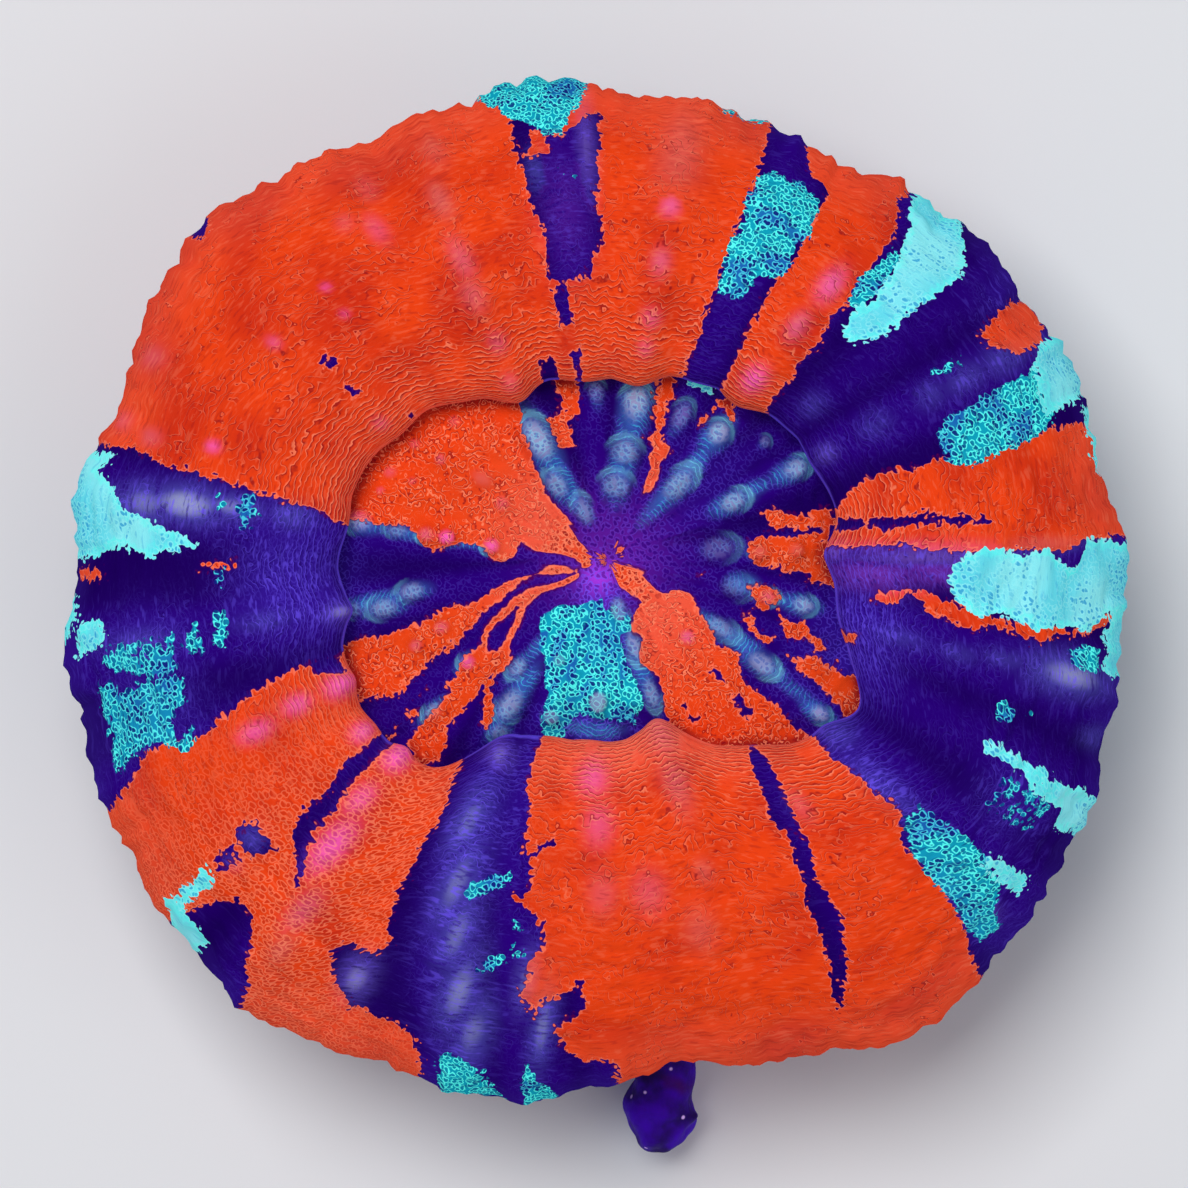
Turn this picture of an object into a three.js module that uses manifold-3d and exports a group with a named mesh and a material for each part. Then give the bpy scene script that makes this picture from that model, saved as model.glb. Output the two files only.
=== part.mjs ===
// A scolymia coral: one large fleshy polyp that grew on a short stony stalk.
// Millimetres, +Z up. The origin is the middle of the flat cut under the stalk, straight below the mouth.
import * as THREE from "three";
import { ParametricGeometry } from "three/addons/geometries/ParametricGeometry.js";
import { mergeVertices } from "three/addons/utils/BufferGeometryUtils.js";
import Module from "manifold-3d";

const wasm = await Module();
wasm.setup();

// Heights of the polyp above the cut.
const MOUTH_HEIGHT = 26.6;
const MOUTH_DEPTH = 1.6;
const DISC_HEIGHT = 28;
const LIP_HEIGHT = 30.4;
const CREST_HEIGHT = 33.4;
const RIM_HEIGHT = 21.5;
const SKIRT_HEIGHT = 11.5;

// The mouth, the fold under the lip, and the skirt of flesh round the head of the stalk.
const MOUTH_RADIUS = 1.8;
const FOLD_DEPTH = 1.3;
const SKIRT_RADIUS = 31;
const STALK_GAP = 0.4;

// Radius of the lip round the oral disc and of the rim round the mantle, every ten degrees from +X towards +Y.
const LIP_RADII = [
  18.8, 19.6, 19.4, 19.2, 18.6, 17.4, 17.2, 16.6, 15.4, 15.4, 15.6, 16.0, 15.8, 17.8, 19.8, 20.8, 22.2, 22.4,
  22.8, 22.6, 23.8, 24.4, 24.2, 23.0, 17.4, 16.2, 15.5, 15.6, 15.0, 15.0, 18.0, 20.6, 23.2, 24.6, 21.6, 19.8,
];
const RIM_RADII = [
  43.8, 42.6, 42.8, 41.6, 41.6, 40.4, 38.8, 39.4, 39.2, 40.0, 41.4, 40.4, 41.0, 42.8, 44.6, 44.8, 43.4, 44.8,
  45.2, 46.2, 46.8, 47.4, 48.2, 48.6, 47.8, 46.2, 46.4, 44.2, 43.0, 45.0, 47.2, 47.6, 46.2, 46.2, 44.8, 44.0,
];

// The septa, the stony blades that lift the flesh into ridges: each one's bearing in degrees on the oral disc,
// at the lip and at the rim, the radius of its first tooth, and how strongly it stands.
const SEPTA = [
  { disc: 3, lip: 2, rim: 1, tooth: 8.1, rise: 1.0 },
  { disc: 26, lip: 26, rim: 26.5, tooth: 7.3, rise: 1.0 },
  { disc: 37, lip: 37, rim: 37, tooth: 6.7, rise: 0.6 },
  { disc: 49, lip: 51, rim: 52.5, tooth: 9.3, rise: 1.1 },
  { disc: 63, lip: 64, rim: 65, tooth: 7.6, rise: 0.9 },
  { disc: 80, lip: 80, rim: 80, tooth: 8.9, rise: 1.2 },
  { disc: 97, lip: 97, rim: 95, tooth: 7.8, rise: 0.9 },
  { disc: 121, lip: 118, rim: 112, tooth: 7.2, rise: 1.2 },
  { disc: 135, lip: 133, rim: 125, tooth: 8.0, rise: 0.6 },
  { disc: 149, lip: 148, rim: 140, tooth: 8.4, rise: 0.6 },
  { disc: 161, lip: 161, rim: 158, tooth: 7.5, rise: 0.6 },
  { disc: 173, lip: 173, rim: 172.5, tooth: 5.9, rise: 1.0 },
  { disc: 191, lip: 191, rim: 190, tooth: 7.5, rise: 1.0 },
  { disc: 203, lip: 205, rim: 206, tooth: 7.7, rise: 1.0 },
  { disc: 214, lip: 215.5, rim: 217, tooth: 6.6, rise: 0.8 },
  { disc: 220, lip: 224, rim: 230, tooth: 7.3, rise: 1.0 },
  { disc: 232, lip: 239, rim: 253, tooth: 6.8, rise: 1.1 },
  { disc: 248, lip: 252, rim: 262, tooth: 9.7, rise: 1.0 },
  { disc: 267, lip: 267, rim: 271, tooth: 7.6, rise: 0.8 },
  { disc: 286, lip: 285, rim: 284, tooth: 7.4, rise: 1.1 },
  { disc: 314, lip: 308, rim: 303, tooth: 9.3, rise: 0.7 },
  { disc: 328, lip: 323, rim: 320, tooth: 6.4, rise: 1.2 },
  { disc: 337, lip: 335, rim: 333.5, tooth: 8.0, rise: 0.7 },
  { disc: 349, lip: 346, rim: 345, tooth: 8.5, rise: 1.1 },
];
const SEPTUM_RADII = { disc: 11, lip: 20, rim: 44 };
const RIDGE_HALF_WIDTH = 1.5;
const RIDGE_FLARE = 0.052;
const TOOTH_PITCH = 4.2;
const TOOTH_HALF_WIDTH = 1.25;
const TOOTH_HEIGHT = 0.85;
const TOOTH_FADE = { from: 17, to: 42 };

// The stalk, a short cone with ribs, and the spur of bare stone that reaches out under the rim.
const STALK_HEIGHT = 16;
const BASE_RADIUS = 21;
const WAIST_RADIUS = 22.6;
const HEAD_RADIUS = 28;
const RIB_HEIGHT = 1.1;
const RIB_HALF_WIDTH = 4.5;
const SPUR_PATH = [
  new THREE.Vector3(3, -14, 6.4),
  new THREE.Vector3(5.4, -28, 6.6),
  new THREE.Vector3(5, -38, 6.9),
  new THREE.Vector3(4.9, -44.5, 6.2),
  new THREE.Vector3(4.6, -48, 5.4),
  new THREE.Vector3(5.1, -50.4, 4.6),
  new THREE.Vector3(5.5, -51.5, 4.2),
];
const SPUR_RADII = [5, 4, 2.8, 2.6, 3.1, 2.3, 0];

// Mesh density: sides round the polyp, the stalk and the spur.
const POLYP_SIDES = 120;
const STALK_SIDES = 60;
const SPUR_SIDES = 12;
const SPUR_STEPS = 12;

const FLESH = new THREE.MeshStandardMaterial({ color: 0xe6431d, roughness: 0.45, metalness: 0 });
const STONE = new THREE.MeshStandardMaterial({ color: 0x2e067a, roughness: 0.75, metalness: 0 });

const UP = new THREE.Vector3(0, 0, 1);
const RADIANS = Math.PI / 180;
const TURN = 2 * Math.PI;

// A bell curve of height 1 and the given half width.
function bell(distance, halfWidth) {
  return Math.exp(-((distance / halfWidth) ** 2));
}

// The smaller angle from one bearing to another, with its sign.
function angleBetween(a, b) {
  return THREE.MathUtils.euclideanModulo(a - b + Math.PI, TURN) - Math.PI;
}

// A radius at any bearing from a ring of radii at even steps, by Catmull-Rom through four neighbours.
function ringRadius(radii, bearing) {
  const count = radii.length;
  const place = (THREE.MathUtils.euclideanModulo(bearing, TURN) / TURN) * count;
  const first = Math.floor(place);
  const share = place - first;
  const [a, b, c, d] = [-1, 0, 1, 2].map((step) => radii[(first + step + count) % count]);
  const bend = 2 * a - 5 * b + 4 * c - d;
  const twist = 3 * (b - c) + d - a;
  return b + 0.5 * share * (c - a + share * (bend + share * twist));
}

// A septum's bearing at a radius: straight runs from the oral disc to the lip and on to the rim.
function septumBearing(septum, radius) {
  const { disc, lip, rim } = SEPTUM_RADII;
  const inner = THREE.MathUtils.clamp((radius - disc) / (lip - disc), 0, 1);
  const outer = THREE.MathUtils.clamp((radius - lip) / (rim - lip), 0, 1);
  const degrees = septum.disc + inner * (septum.lip - septum.disc) + outer * (septum.rim - septum.lip);
  return degrees * RADIANS;
}

// How far the septa lift the flesh: a rounded ridge along each blade, with a blunt tooth at every pitch.
function septaLift(bearing, radius) {
  const ridgeWidth = RIDGE_HALF_WIDTH + RIDGE_FLARE * radius;
  const { from, to } = TOOTH_FADE;
  const toothHeight = TOOTH_HEIGHT * (1 - 0.75 * THREE.MathUtils.smoothstep(radius, from, to));
  let lift = 0;
  for (const septum of SEPTA) {
    const across = angleBetween(bearing, septumBearing(septum, radius)) * radius;
    const nearest = Math.max(0, Math.round((radius - septum.tooth) / TOOTH_PITCH));
    const along = radius - septum.tooth - nearest * TOOTH_PITCH;
    const ridge = bell(across, ridgeWidth);
    const tooth = bell(Math.hypot(across, along), TOOTH_HALF_WIDTH);
    lift = Math.max(lift, septum.rise * (ridge + toothHeight * tooth));
  }
  return lift;
}

// The polyp's section from the mouth, over the lip and the mantle, round the rim and under to the skirt.
// A point's radius is a share of the lip's radius, a share of the mantle's width and an offset;
// relief is the height of a ridge there, and rings is the number of rings up to the next point.
const SECTION = [
  { lip: 0, mantle: 0, offset: 0, height: MOUTH_HEIGHT - MOUTH_DEPTH, relief: 0, rings: 1 },
  { lip: 0, mantle: 0, offset: MOUTH_RADIUS, height: MOUTH_HEIGHT, relief: 0.1, rings: 3 },
  { lip: 0.38, mantle: 0, offset: 0, height: DISC_HEIGHT - 0.3, relief: 0.5, rings: 3 },
  { lip: 0.74, mantle: 0, offset: 0, height: DISC_HEIGHT, relief: 0.75, rings: 3 },
  { lip: 1, mantle: 0, offset: -0.4, height: DISC_HEIGHT - 1.1, relief: 0.35, rings: 1 },
  { lip: 1, mantle: 0, offset: FOLD_DEPTH, height: DISC_HEIGHT - 1, relief: 0, rings: 1 },
  { lip: 1, mantle: 0, offset: 0, height: LIP_HEIGHT - 0.6, relief: 0.55, rings: 2 },
  { lip: 1, mantle: 0.1, offset: 0, height: LIP_HEIGHT + 1.4, relief: 1, rings: 3 },
  { lip: 1, mantle: 0.38, offset: 0, height: CREST_HEIGHT, relief: 1, rings: 4 },
  { lip: 1, mantle: 0.72, offset: 0, height: CREST_HEIGHT - 2.6, relief: 0.9, rings: 4 },
  { lip: 1, mantle: 1, offset: -1.3, height: RIM_HEIGHT + 4.2, relief: 0.9, rings: 2 },
  { lip: 1, mantle: 1, offset: 0, height: RIM_HEIGHT, relief: 0.8, rings: 2 },
  { lip: 1, mantle: 1, offset: -2, height: RIM_HEIGHT - 4.2, relief: 0.7, rings: 2 },
  { lip: 0, mantle: 0, offset: SKIRT_RADIUS + 4.5, height: SKIRT_HEIGHT + 2.4, relief: 0.5, rings: 2 },
  { lip: 0, mantle: 0, offset: SKIRT_RADIUS, height: SKIRT_HEIGHT, relief: 0.1, rings: 0 },
];

// Places along the section, one for each ring, from 0 at the mouth to 1 at the skirt.
const RINGS = SECTION.flatMap(({ rings }, span) =>
  Array.from({ length: rings }, (_, step) => (span + step / rings) / (SECTION.length - 1)),
).concat(1);

// The socket under the polyp that the head of the stalk stands in: its foot, its roof's edge and its middle.
const SOCKET = [
  [HEAD_RADIUS + STALK_GAP, SKIRT_HEIGHT],
  [HEAD_RADIUS + STALK_GAP, STALK_HEIGHT + STALK_GAP],
  [0, STALK_HEIGHT + STALK_GAP],
];

// A point of the section at one bearing, as radius, height and relief.
function sectionCurve(bearing) {
  const lipRadius = ringRadius(LIP_RADII, bearing);
  const mantleWidth = ringRadius(RIM_RADII, bearing) - lipRadius;
  const points = SECTION.map(
    ({ lip, mantle, offset, height, relief }) =>
      new THREE.Vector3(lip * lipRadius + mantle * mantleWidth + offset, height, relief),
  );
  return new THREE.CatmullRomCurve3(points, false, "catmullrom", 0.5);
}

// The polyp's skin: the section carried round the mouth, pushed out along its own normal by the septa.
function polypPoint(turn, along, target) {
  const bearing = -turn * TURN;
  const ring = Math.round(along * (RINGS.length + SOCKET.length - 1));
  if (ring >= RINGS.length) {
    const [radius, height] = SOCKET[ring - RINGS.length];
    target.set(radius * Math.cos(bearing), radius * Math.sin(bearing), height);
    return;
  }
  const curve = sectionCurve(bearing);
  const place = curve.getPoint(RINGS[ring]);
  const heading = curve.getTangent(RINGS[ring]);
  const steepness = Math.hypot(heading.x, heading.y);
  const lift = place.z * septaLift(bearing, place.x);
  const radius = Math.max(0, place.x - (lift * heading.y) / steepness);
  const height = place.y + (lift * heading.x) / steepness;
  target.set(radius * Math.cos(bearing), radius * Math.sin(bearing), height);
}

// The stalk's wall, with a rib below each septum that fades into the plain head and foot.
const STALK_SECTION = [
  { radius: 0, height: 0, rib: 0 },
  { radius: BASE_RADIUS, height: 0, rib: 0.6 },
  { radius: BASE_RADIUS + 0.5, height: 2, rib: 1 },
  { radius: WAIST_RADIUS, height: 5.5, rib: 1 },
  { radius: WAIST_RADIUS + 2, height: 9, rib: 1 },
  { radius: HEAD_RADIUS - 1.2, height: 12, rib: 0.4 },
  { radius: HEAD_RADIUS, height: 14, rib: 0 },
  { radius: HEAD_RADIUS, height: STALK_HEIGHT, rib: 0 },
  { radius: 0, height: STALK_HEIGHT, rib: 0 },
];

function stalkPoint(turn, along, target) {
  const bearing = turn * TURN;
  const { radius, height, rib } = STALK_SECTION[Math.round(along * (STALK_SECTION.length - 1))];
  const ribs = SEPTA.map(({ rim, rise }) => {
    return rise * bell(angleBetween(bearing, rim * RADIANS) / RADIANS, RIB_HALF_WIDTH);
  });
  const wall = radius + rib * RIB_HEIGHT * Math.max(...ribs);
  target.set(wall * Math.cos(bearing), wall * Math.sin(bearing), height);
}

// The spur: a tapering root that swells to a blunt knob, round a path that runs out and down.
function spurGeometry() {
  const path = new THREE.CatmullRomCurve3(SPUR_PATH);
  const girth = new THREE.SplineCurve(SPUR_RADII.map((radius, i) => new THREE.Vector2(i, radius)));
  return new ParametricGeometry(
    (turn, along, target) => {
      const angle = -turn * TURN;
      const heading = path.getTangent(along);
      const side = new THREE.Vector3().crossVectors(heading, UP).normalize();
      const above = new THREE.Vector3().crossVectors(side, heading);
      const swell = along === 0 ? 0 : Math.max(0, girth.getPoint(along).y);
      target.copy(path.getPoint(along));
      target.addScaledVector(side, swell * Math.cos(angle));
      target.addScaledVector(above, swell * Math.sin(angle));
    },
    SPUR_SIDES,
    SPUR_STEPS,
  );
}

// A geometry's closed surface as a solid, with shared corners merged and collapsed triangles left out.
function solidOf(geometry) {
  const bare = geometry.clone();
  bare.deleteAttribute("normal");
  bare.deleteAttribute("uv");
  const merged = mergeVertices(bare, 1e-3);
  const corners = merged.index.array;
  const kept = [];
  for (let i = 0; i < corners.length; i += 3) {
    const triangle = [corners[i], corners[i + 1], corners[i + 2]];
    if (new Set(triangle).size === 3) kept.push(...triangle);
  }
  const vertProperties = merged.attributes.position.array;
  return new wasm.Manifold(new wasm.Mesh({ numProp: 3, vertProperties, triVerts: new Uint32Array(kept) }));
}

// A solid's surface as a geometry.
function geometryOf(solid) {
  const { vertProperties, triVerts } = solid.getMesh();
  return new THREE.BufferGeometry()
    .setAttribute("position", new THREE.BufferAttribute(vertProperties, 3))
    .setIndex(new THREE.BufferAttribute(triVerts, 1));
}

function makePolyp() {
  const rings = RINGS.length + SOCKET.length - 1;
  const polyp = new THREE.Mesh(geometryOf(solidOf(new ParametricGeometry(polypPoint, POLYP_SIDES, rings))), FLESH);
  polyp.name = "polyp";
  return polyp;
}

function makeStalk() {
  const cone = solidOf(new ParametricGeometry(stalkPoint, STALK_SIDES, STALK_SECTION.length - 1));
  const stalk = new THREE.Mesh(geometryOf(cone.add(solidOf(spurGeometry()))), STONE);
  stalk.name = "stalk";
  return stalk;
}

const coral = new THREE.Group();
coral.add(makePolyp(), makeStalk());

export default coral;
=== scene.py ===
"""Looks of a scolymia coral: the flesh of one large polyp and the stony stalk that it grew on.

Shapes are worked out in millimetres in the part's frame and put down in metres. Bearings are degrees round
the mouth, from +X towards +Y. Reach is the distance from the mouth over the skin as seen from above: the
plan radius as far as the rim, and past the rim the way round under it is added.
"""

import logging
from dataclasses import dataclass
from enum import Enum

import bpy
import numpy as np
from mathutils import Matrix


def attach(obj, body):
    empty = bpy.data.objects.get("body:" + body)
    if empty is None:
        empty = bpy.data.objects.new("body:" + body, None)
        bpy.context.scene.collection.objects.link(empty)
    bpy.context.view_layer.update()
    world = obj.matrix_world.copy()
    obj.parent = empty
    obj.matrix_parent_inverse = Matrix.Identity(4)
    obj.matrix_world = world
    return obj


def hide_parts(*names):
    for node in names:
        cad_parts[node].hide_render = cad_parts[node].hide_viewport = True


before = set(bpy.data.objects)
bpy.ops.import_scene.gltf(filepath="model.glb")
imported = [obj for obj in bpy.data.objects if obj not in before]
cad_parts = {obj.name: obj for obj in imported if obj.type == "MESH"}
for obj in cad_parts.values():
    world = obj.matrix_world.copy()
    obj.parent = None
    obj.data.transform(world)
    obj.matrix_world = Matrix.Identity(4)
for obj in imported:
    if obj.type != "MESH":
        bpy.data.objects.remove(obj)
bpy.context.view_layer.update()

LOG = logging.getLogger("coral")
MM = 0.001
BODY = "root"

Vector = tuple[float, float, float]
Colour = tuple[float, float, float]
Station = tuple[float, float, float]
Patches = tuple[tuple[Station, ...], ...]
Outlines = tuple[tuple[tuple[float, float], ...], ...]
Settings = dict[str, str]
Inputs = dict[str | int, "Wire | Colour | float"]

# Colour patches. Each is a row of stations: reach in millimetres, then the first and last bearing there.
ORANGE_MANTLE: Patches = (
    (
        (15.2, 4, 9), (18.2, 3, 9), (19.9, 3, 12.5), (21.5, 3, 16.5), (25.4, 3, 17), (27.9, 1.8, 17),
        (38.0, 1.2, 16.5), (39.7, 2.6, 16.2), (59.2, 2.6, 16),
    ),
    (
        (15.2, 43, 56), (17.3, 43, 56), (20.3, 44, 57.5), (22.8, 46, 58.5), (29.6, 47, 58.5),
        (35.9, 48.5, 59), (36.8, 49, 63), (38.4, 51, 64), (59.2, 51, 64),
    ),
    (
        (12.7, 69, 172), (23.7, 68.5, 172), (25.4, 68.5, 170), (29.6, 68, 169), (33.8, 68.5, 168),
        (42.2, 70, 167), (59.2, 70, 167),
    ),
    (
        (16.9, 200, 232), (22.8, 199.5, 235), (25.4, 199.5, 236), (29.6, 199.5, 237), (33.8, 202, 238),
        (36.3, 203.5, 239), (38.4, 203, 244), (39.7, 202.5, 246), (41.4, 202.5, 247), (42.5, 203, 248),
        (43.3, 204, 249), (45.6, 206.5, 249.5), (59.2, 207, 250),
    ),
    (
        (14.4, 250.5, 318), (20.2, 250, 319), (21.2, 249.4, 319), (24.0, 252, 319), (26.0, 253.4, 319),
        (29.3, 255, 319), (31.6, 258.6, 319), (34.3, 258.6, 316), (36.8, 258.4, 315.5),
        (38.6, 260, 315.5), (40.5, 263.5, 315), (42.1, 267, 314.3), (42.9, 271, 314), (44.4, 271.5, 313),
        (46.9, 272, 311.5), (59.2, 272, 311),
    ),
    (
        (22.6, 351.6, 352.6), (23.6, 351.4, 353), (24.6, 352, 353.4), (25.3, 354, 355.2),
        (27.3, 350.6, 354.2), (30.0, 349.4, 352.4), (32.4, 350.3, 352), (35.1, 349.5, 351.4),
        (37.8, 350.1, 352), (39.5, 350.6, 351.6), (42.0, 352.4, 353.6), (42.9, 353.5, 354.2),
    ),
    ((36.5, 29, 31), (38.0, 27, 32), (40.6, 26.5, 32.5), (41.8, 29, 32)),
    ((20.3, 340, 343.5), (22.0, 340.5, 343)),
    ((31.3, 180.6, 181.0), (33.8, 180.7, 181.2)),
    ((42.7, 181, 182), (44.8, 181, 182)),
)
ORANGE_BITS: Patches = (
    ((35.6, 96.4, 97.6), (36.3, 94.4, 97.2), (37.3, 92, 96), (38.5, 90, 94), (40.5, 90, 92.5)),
    ((34.5, 98.4, 100.6), (36.6, 98.2, 100.4)),
)
ORANGE_DISC: Patches = (
    ((12.3, 100, 106.5), (16.5, 100, 106.5)),
    ((10.3, 107, 112), (12.7, 106, 113)),
    (
        (4.6, 138, 173), (5.1, 135, 174), (6.4, 133, 174), (7.6, 132, 171), (8.5, 131, 178),
        (9.0, 130, 180), (9.8, 129, 178), (10.8, 127.5, 174), (12.7, 125, 174), (13.5, 123.5, 175),
        (14.0, 119.5, 176), (14.8, 119, 177), (16.5, 119, 171), (25.4, 119, 170),
    ),
    (
        (0.5, 300, 345), (1.5, 292, 345), (2.4, 291, 341), (3.4, 304, 337), (4.6, 309, 327),
        (5.2, 293, 327), (5.9, 290, 330), (6.4, 290, 336), (7.4, 296, 335), (8.5, 289, 332),
        (9.1, 288, 330), (10.6, 291, 325), (11.8, 291, 322), (13.5, 290.5, 324), (15.2, 291, 318.5),
        (16.9, 295, 319), (18.6, 300, 319), (25.4, 308, 318),
    ),
)
CUTS_MANTLE: Patches = (
    ((19.9, 7.8, 9.4), (23.2, 6.5, 9.1), (27.2, 5.9, 8.4), (30.0, 5.5, 7.3), (32.6, 5.4, 5.9)),
    (
        (23.3, 93, 95), (24.0, 93, 101.5), (27.0, 91, 101), (29.6, 91, 102), (36.3, 90.7, 103),
        (38.2, 91, 102.5), (39.7, 92, 97),
    ),
    ((14.4, 98, 100), (17.9, 98.2, 100)),
    ((20.1, 98.8, 101.5), (23.3, 98.5, 101.8)),
    ((15.2, 104, 110), (17.5, 105, 109)),
    ((20.6, 143, 144.5), (21.3, 143, 144.5)),
    ((28.0, 143.8, 146.4), (29.4, 144, 146)),
    ((25.3, 145.8, 147.6), (26.9, 146, 147.4)),
    ((43.4, 139.4, 141.8), (59.2, 139.2, 142)),
    (
        (23.7, 217, 220), (28.5, 217.9, 220.6), (31.0, 219.3, 222.4), (33.5, 219.2, 223.2),
        (34.9, 220.3, 224), (35.8, 223.2, 225), (37.4, 226, 226.6),
    ),
    ((36.6, 216, 220.5), (38.9, 216, 220)),
    ((39.1, 217, 219.5), (41.6, 216.5, 219)),
    (
        (42.5, 222.5, 225), (44.1, 221, 227.5), (46.5, 219.5, 229.5), (48.5, 219.5, 230.5),
        (59.2, 219.5, 230.5),
    ),
    ((24.5, 199, 203), (26.7, 199, 201)),
    (
        (19.0, 307, 309), (20.3, 306, 309), (22.4, 304.2, 308), (25.4, 303, 306), (28.7, 302.5, 305.3),
        (31.4, 300.6, 303.8), (35.9, 300, 302.8), (38.2, 299, 301), (40.6, 297.6, 299.4),
        (42.8, 296.6, 297.8),
    ),
)
CUTS_DISC: Patches = (
    ((12.7, 313, 315.5), (15.2, 312, 315), (17.9, 311, 314)),
    ((13.5, 296, 299), (15.6, 297, 299)),
)
PALE: Patches = (
    ((39.0, 19, 24), (39.9, 18.5, 26.5), (42.2, 19, 27), (59.2, 18, 27)),
    ((42.1, 10, 18), (59.2, 10, 18)),
    (
        (27.2, 41, 44.5), (28.7, 40, 45.5), (31.3, 38.5, 44.5), (35.5, 39, 46), (38.4, 39.5, 49),
        (40.1, 42, 50), (41.2, 44, 49.5),
    ),
    ((42.5, 217.9, 219.2), (46.3, 217.5, 219.4)),
    ((46.2, 217.5, 221.5), (47.0, 217.3, 223.5), (48.2, 220.5, 223.8), (59.2, 221, 223.5)),
    ((40.4, 321, 322.8), (42.2, 320.6, 323), (44.1, 321, 322.8)),
    ((40.4, 331.8, 333.2), (43.3, 331.5, 333.5), (43.8, 329, 334), (46.3, 329.5, 334), (59.2, 330, 334)),
    ((35.0, 333.2, 334.2), (38.0, 333, 334.4), (40.7, 332.5, 334)),
    (
        (28.7, 354.5, 358.5), (29.6, 353.5, 360.3), (31.3, 351.8, 361), (36.7, 351.2, 361),
        (38.2, 351.3, 359.2), (39.4, 351.5, 359.4), (39.9, 351.6, 362.4), (41.3, 352, 362.4),
        (42.0, 354, 362.3), (43.3, 354, 362), (59.2, 352, 361.5),
    ),
    ((42.7, 347, 354), (59.2, 347, 354)),
)
PALE_DISC: Patches = (
    ((16.4, 58, 66), (17.2, 58, 65)),
)
MESH: Patches = (
    ((29.6, 16, 21), (30.8, 15, 23), (37.2, 15.5, 24), (39.4, 18, 24)),
    ((31.3, 29.2, 30), (33.8, 29, 30)),
    ((29.7, 45, 47), (31.3, 44.8, 48), (35.2, 45.5, 47.5)),
    ((24.3, 64, 67.5), (26.4, 62.5, 68.5), (28.1, 58.5, 69), (31.3, 58.5, 69), (35.1, 59.5, 68)),
    ((35.9, 96, 98.5), (36.8, 95.5, 99.5), (38.0, 94, 102), (41.0, 92, 106), (59.2, 91, 107)),
    (
        (33.1, 319, 321.5), (34.5, 316.4, 322.2), (38.0, 315.8, 322.3), (42.2, 315, 321),
        (43.3, 314.5, 317.5), (45.0, 314.5, 317),
    ),
    ((39.4, 70, 75), (59.2, 70, 75)),
    ((32.1, 95.5, 97), (32.8, 95.5, 97)),
    ((39.4, 347.4, 349.4), (41.6, 347.4, 349.2)),
    ((35.2, 338.6, 339.6), (36.2, 338.4, 339.3)),
    ((37.6, 339, 340.2), (38.8, 338.8, 340)),
)
FAINT_MESH: Patches = (
    ((37.3, 326.5, 331.5), (39.7, 325.5, 332), (42.4, 326.5, 331)),
)

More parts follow.
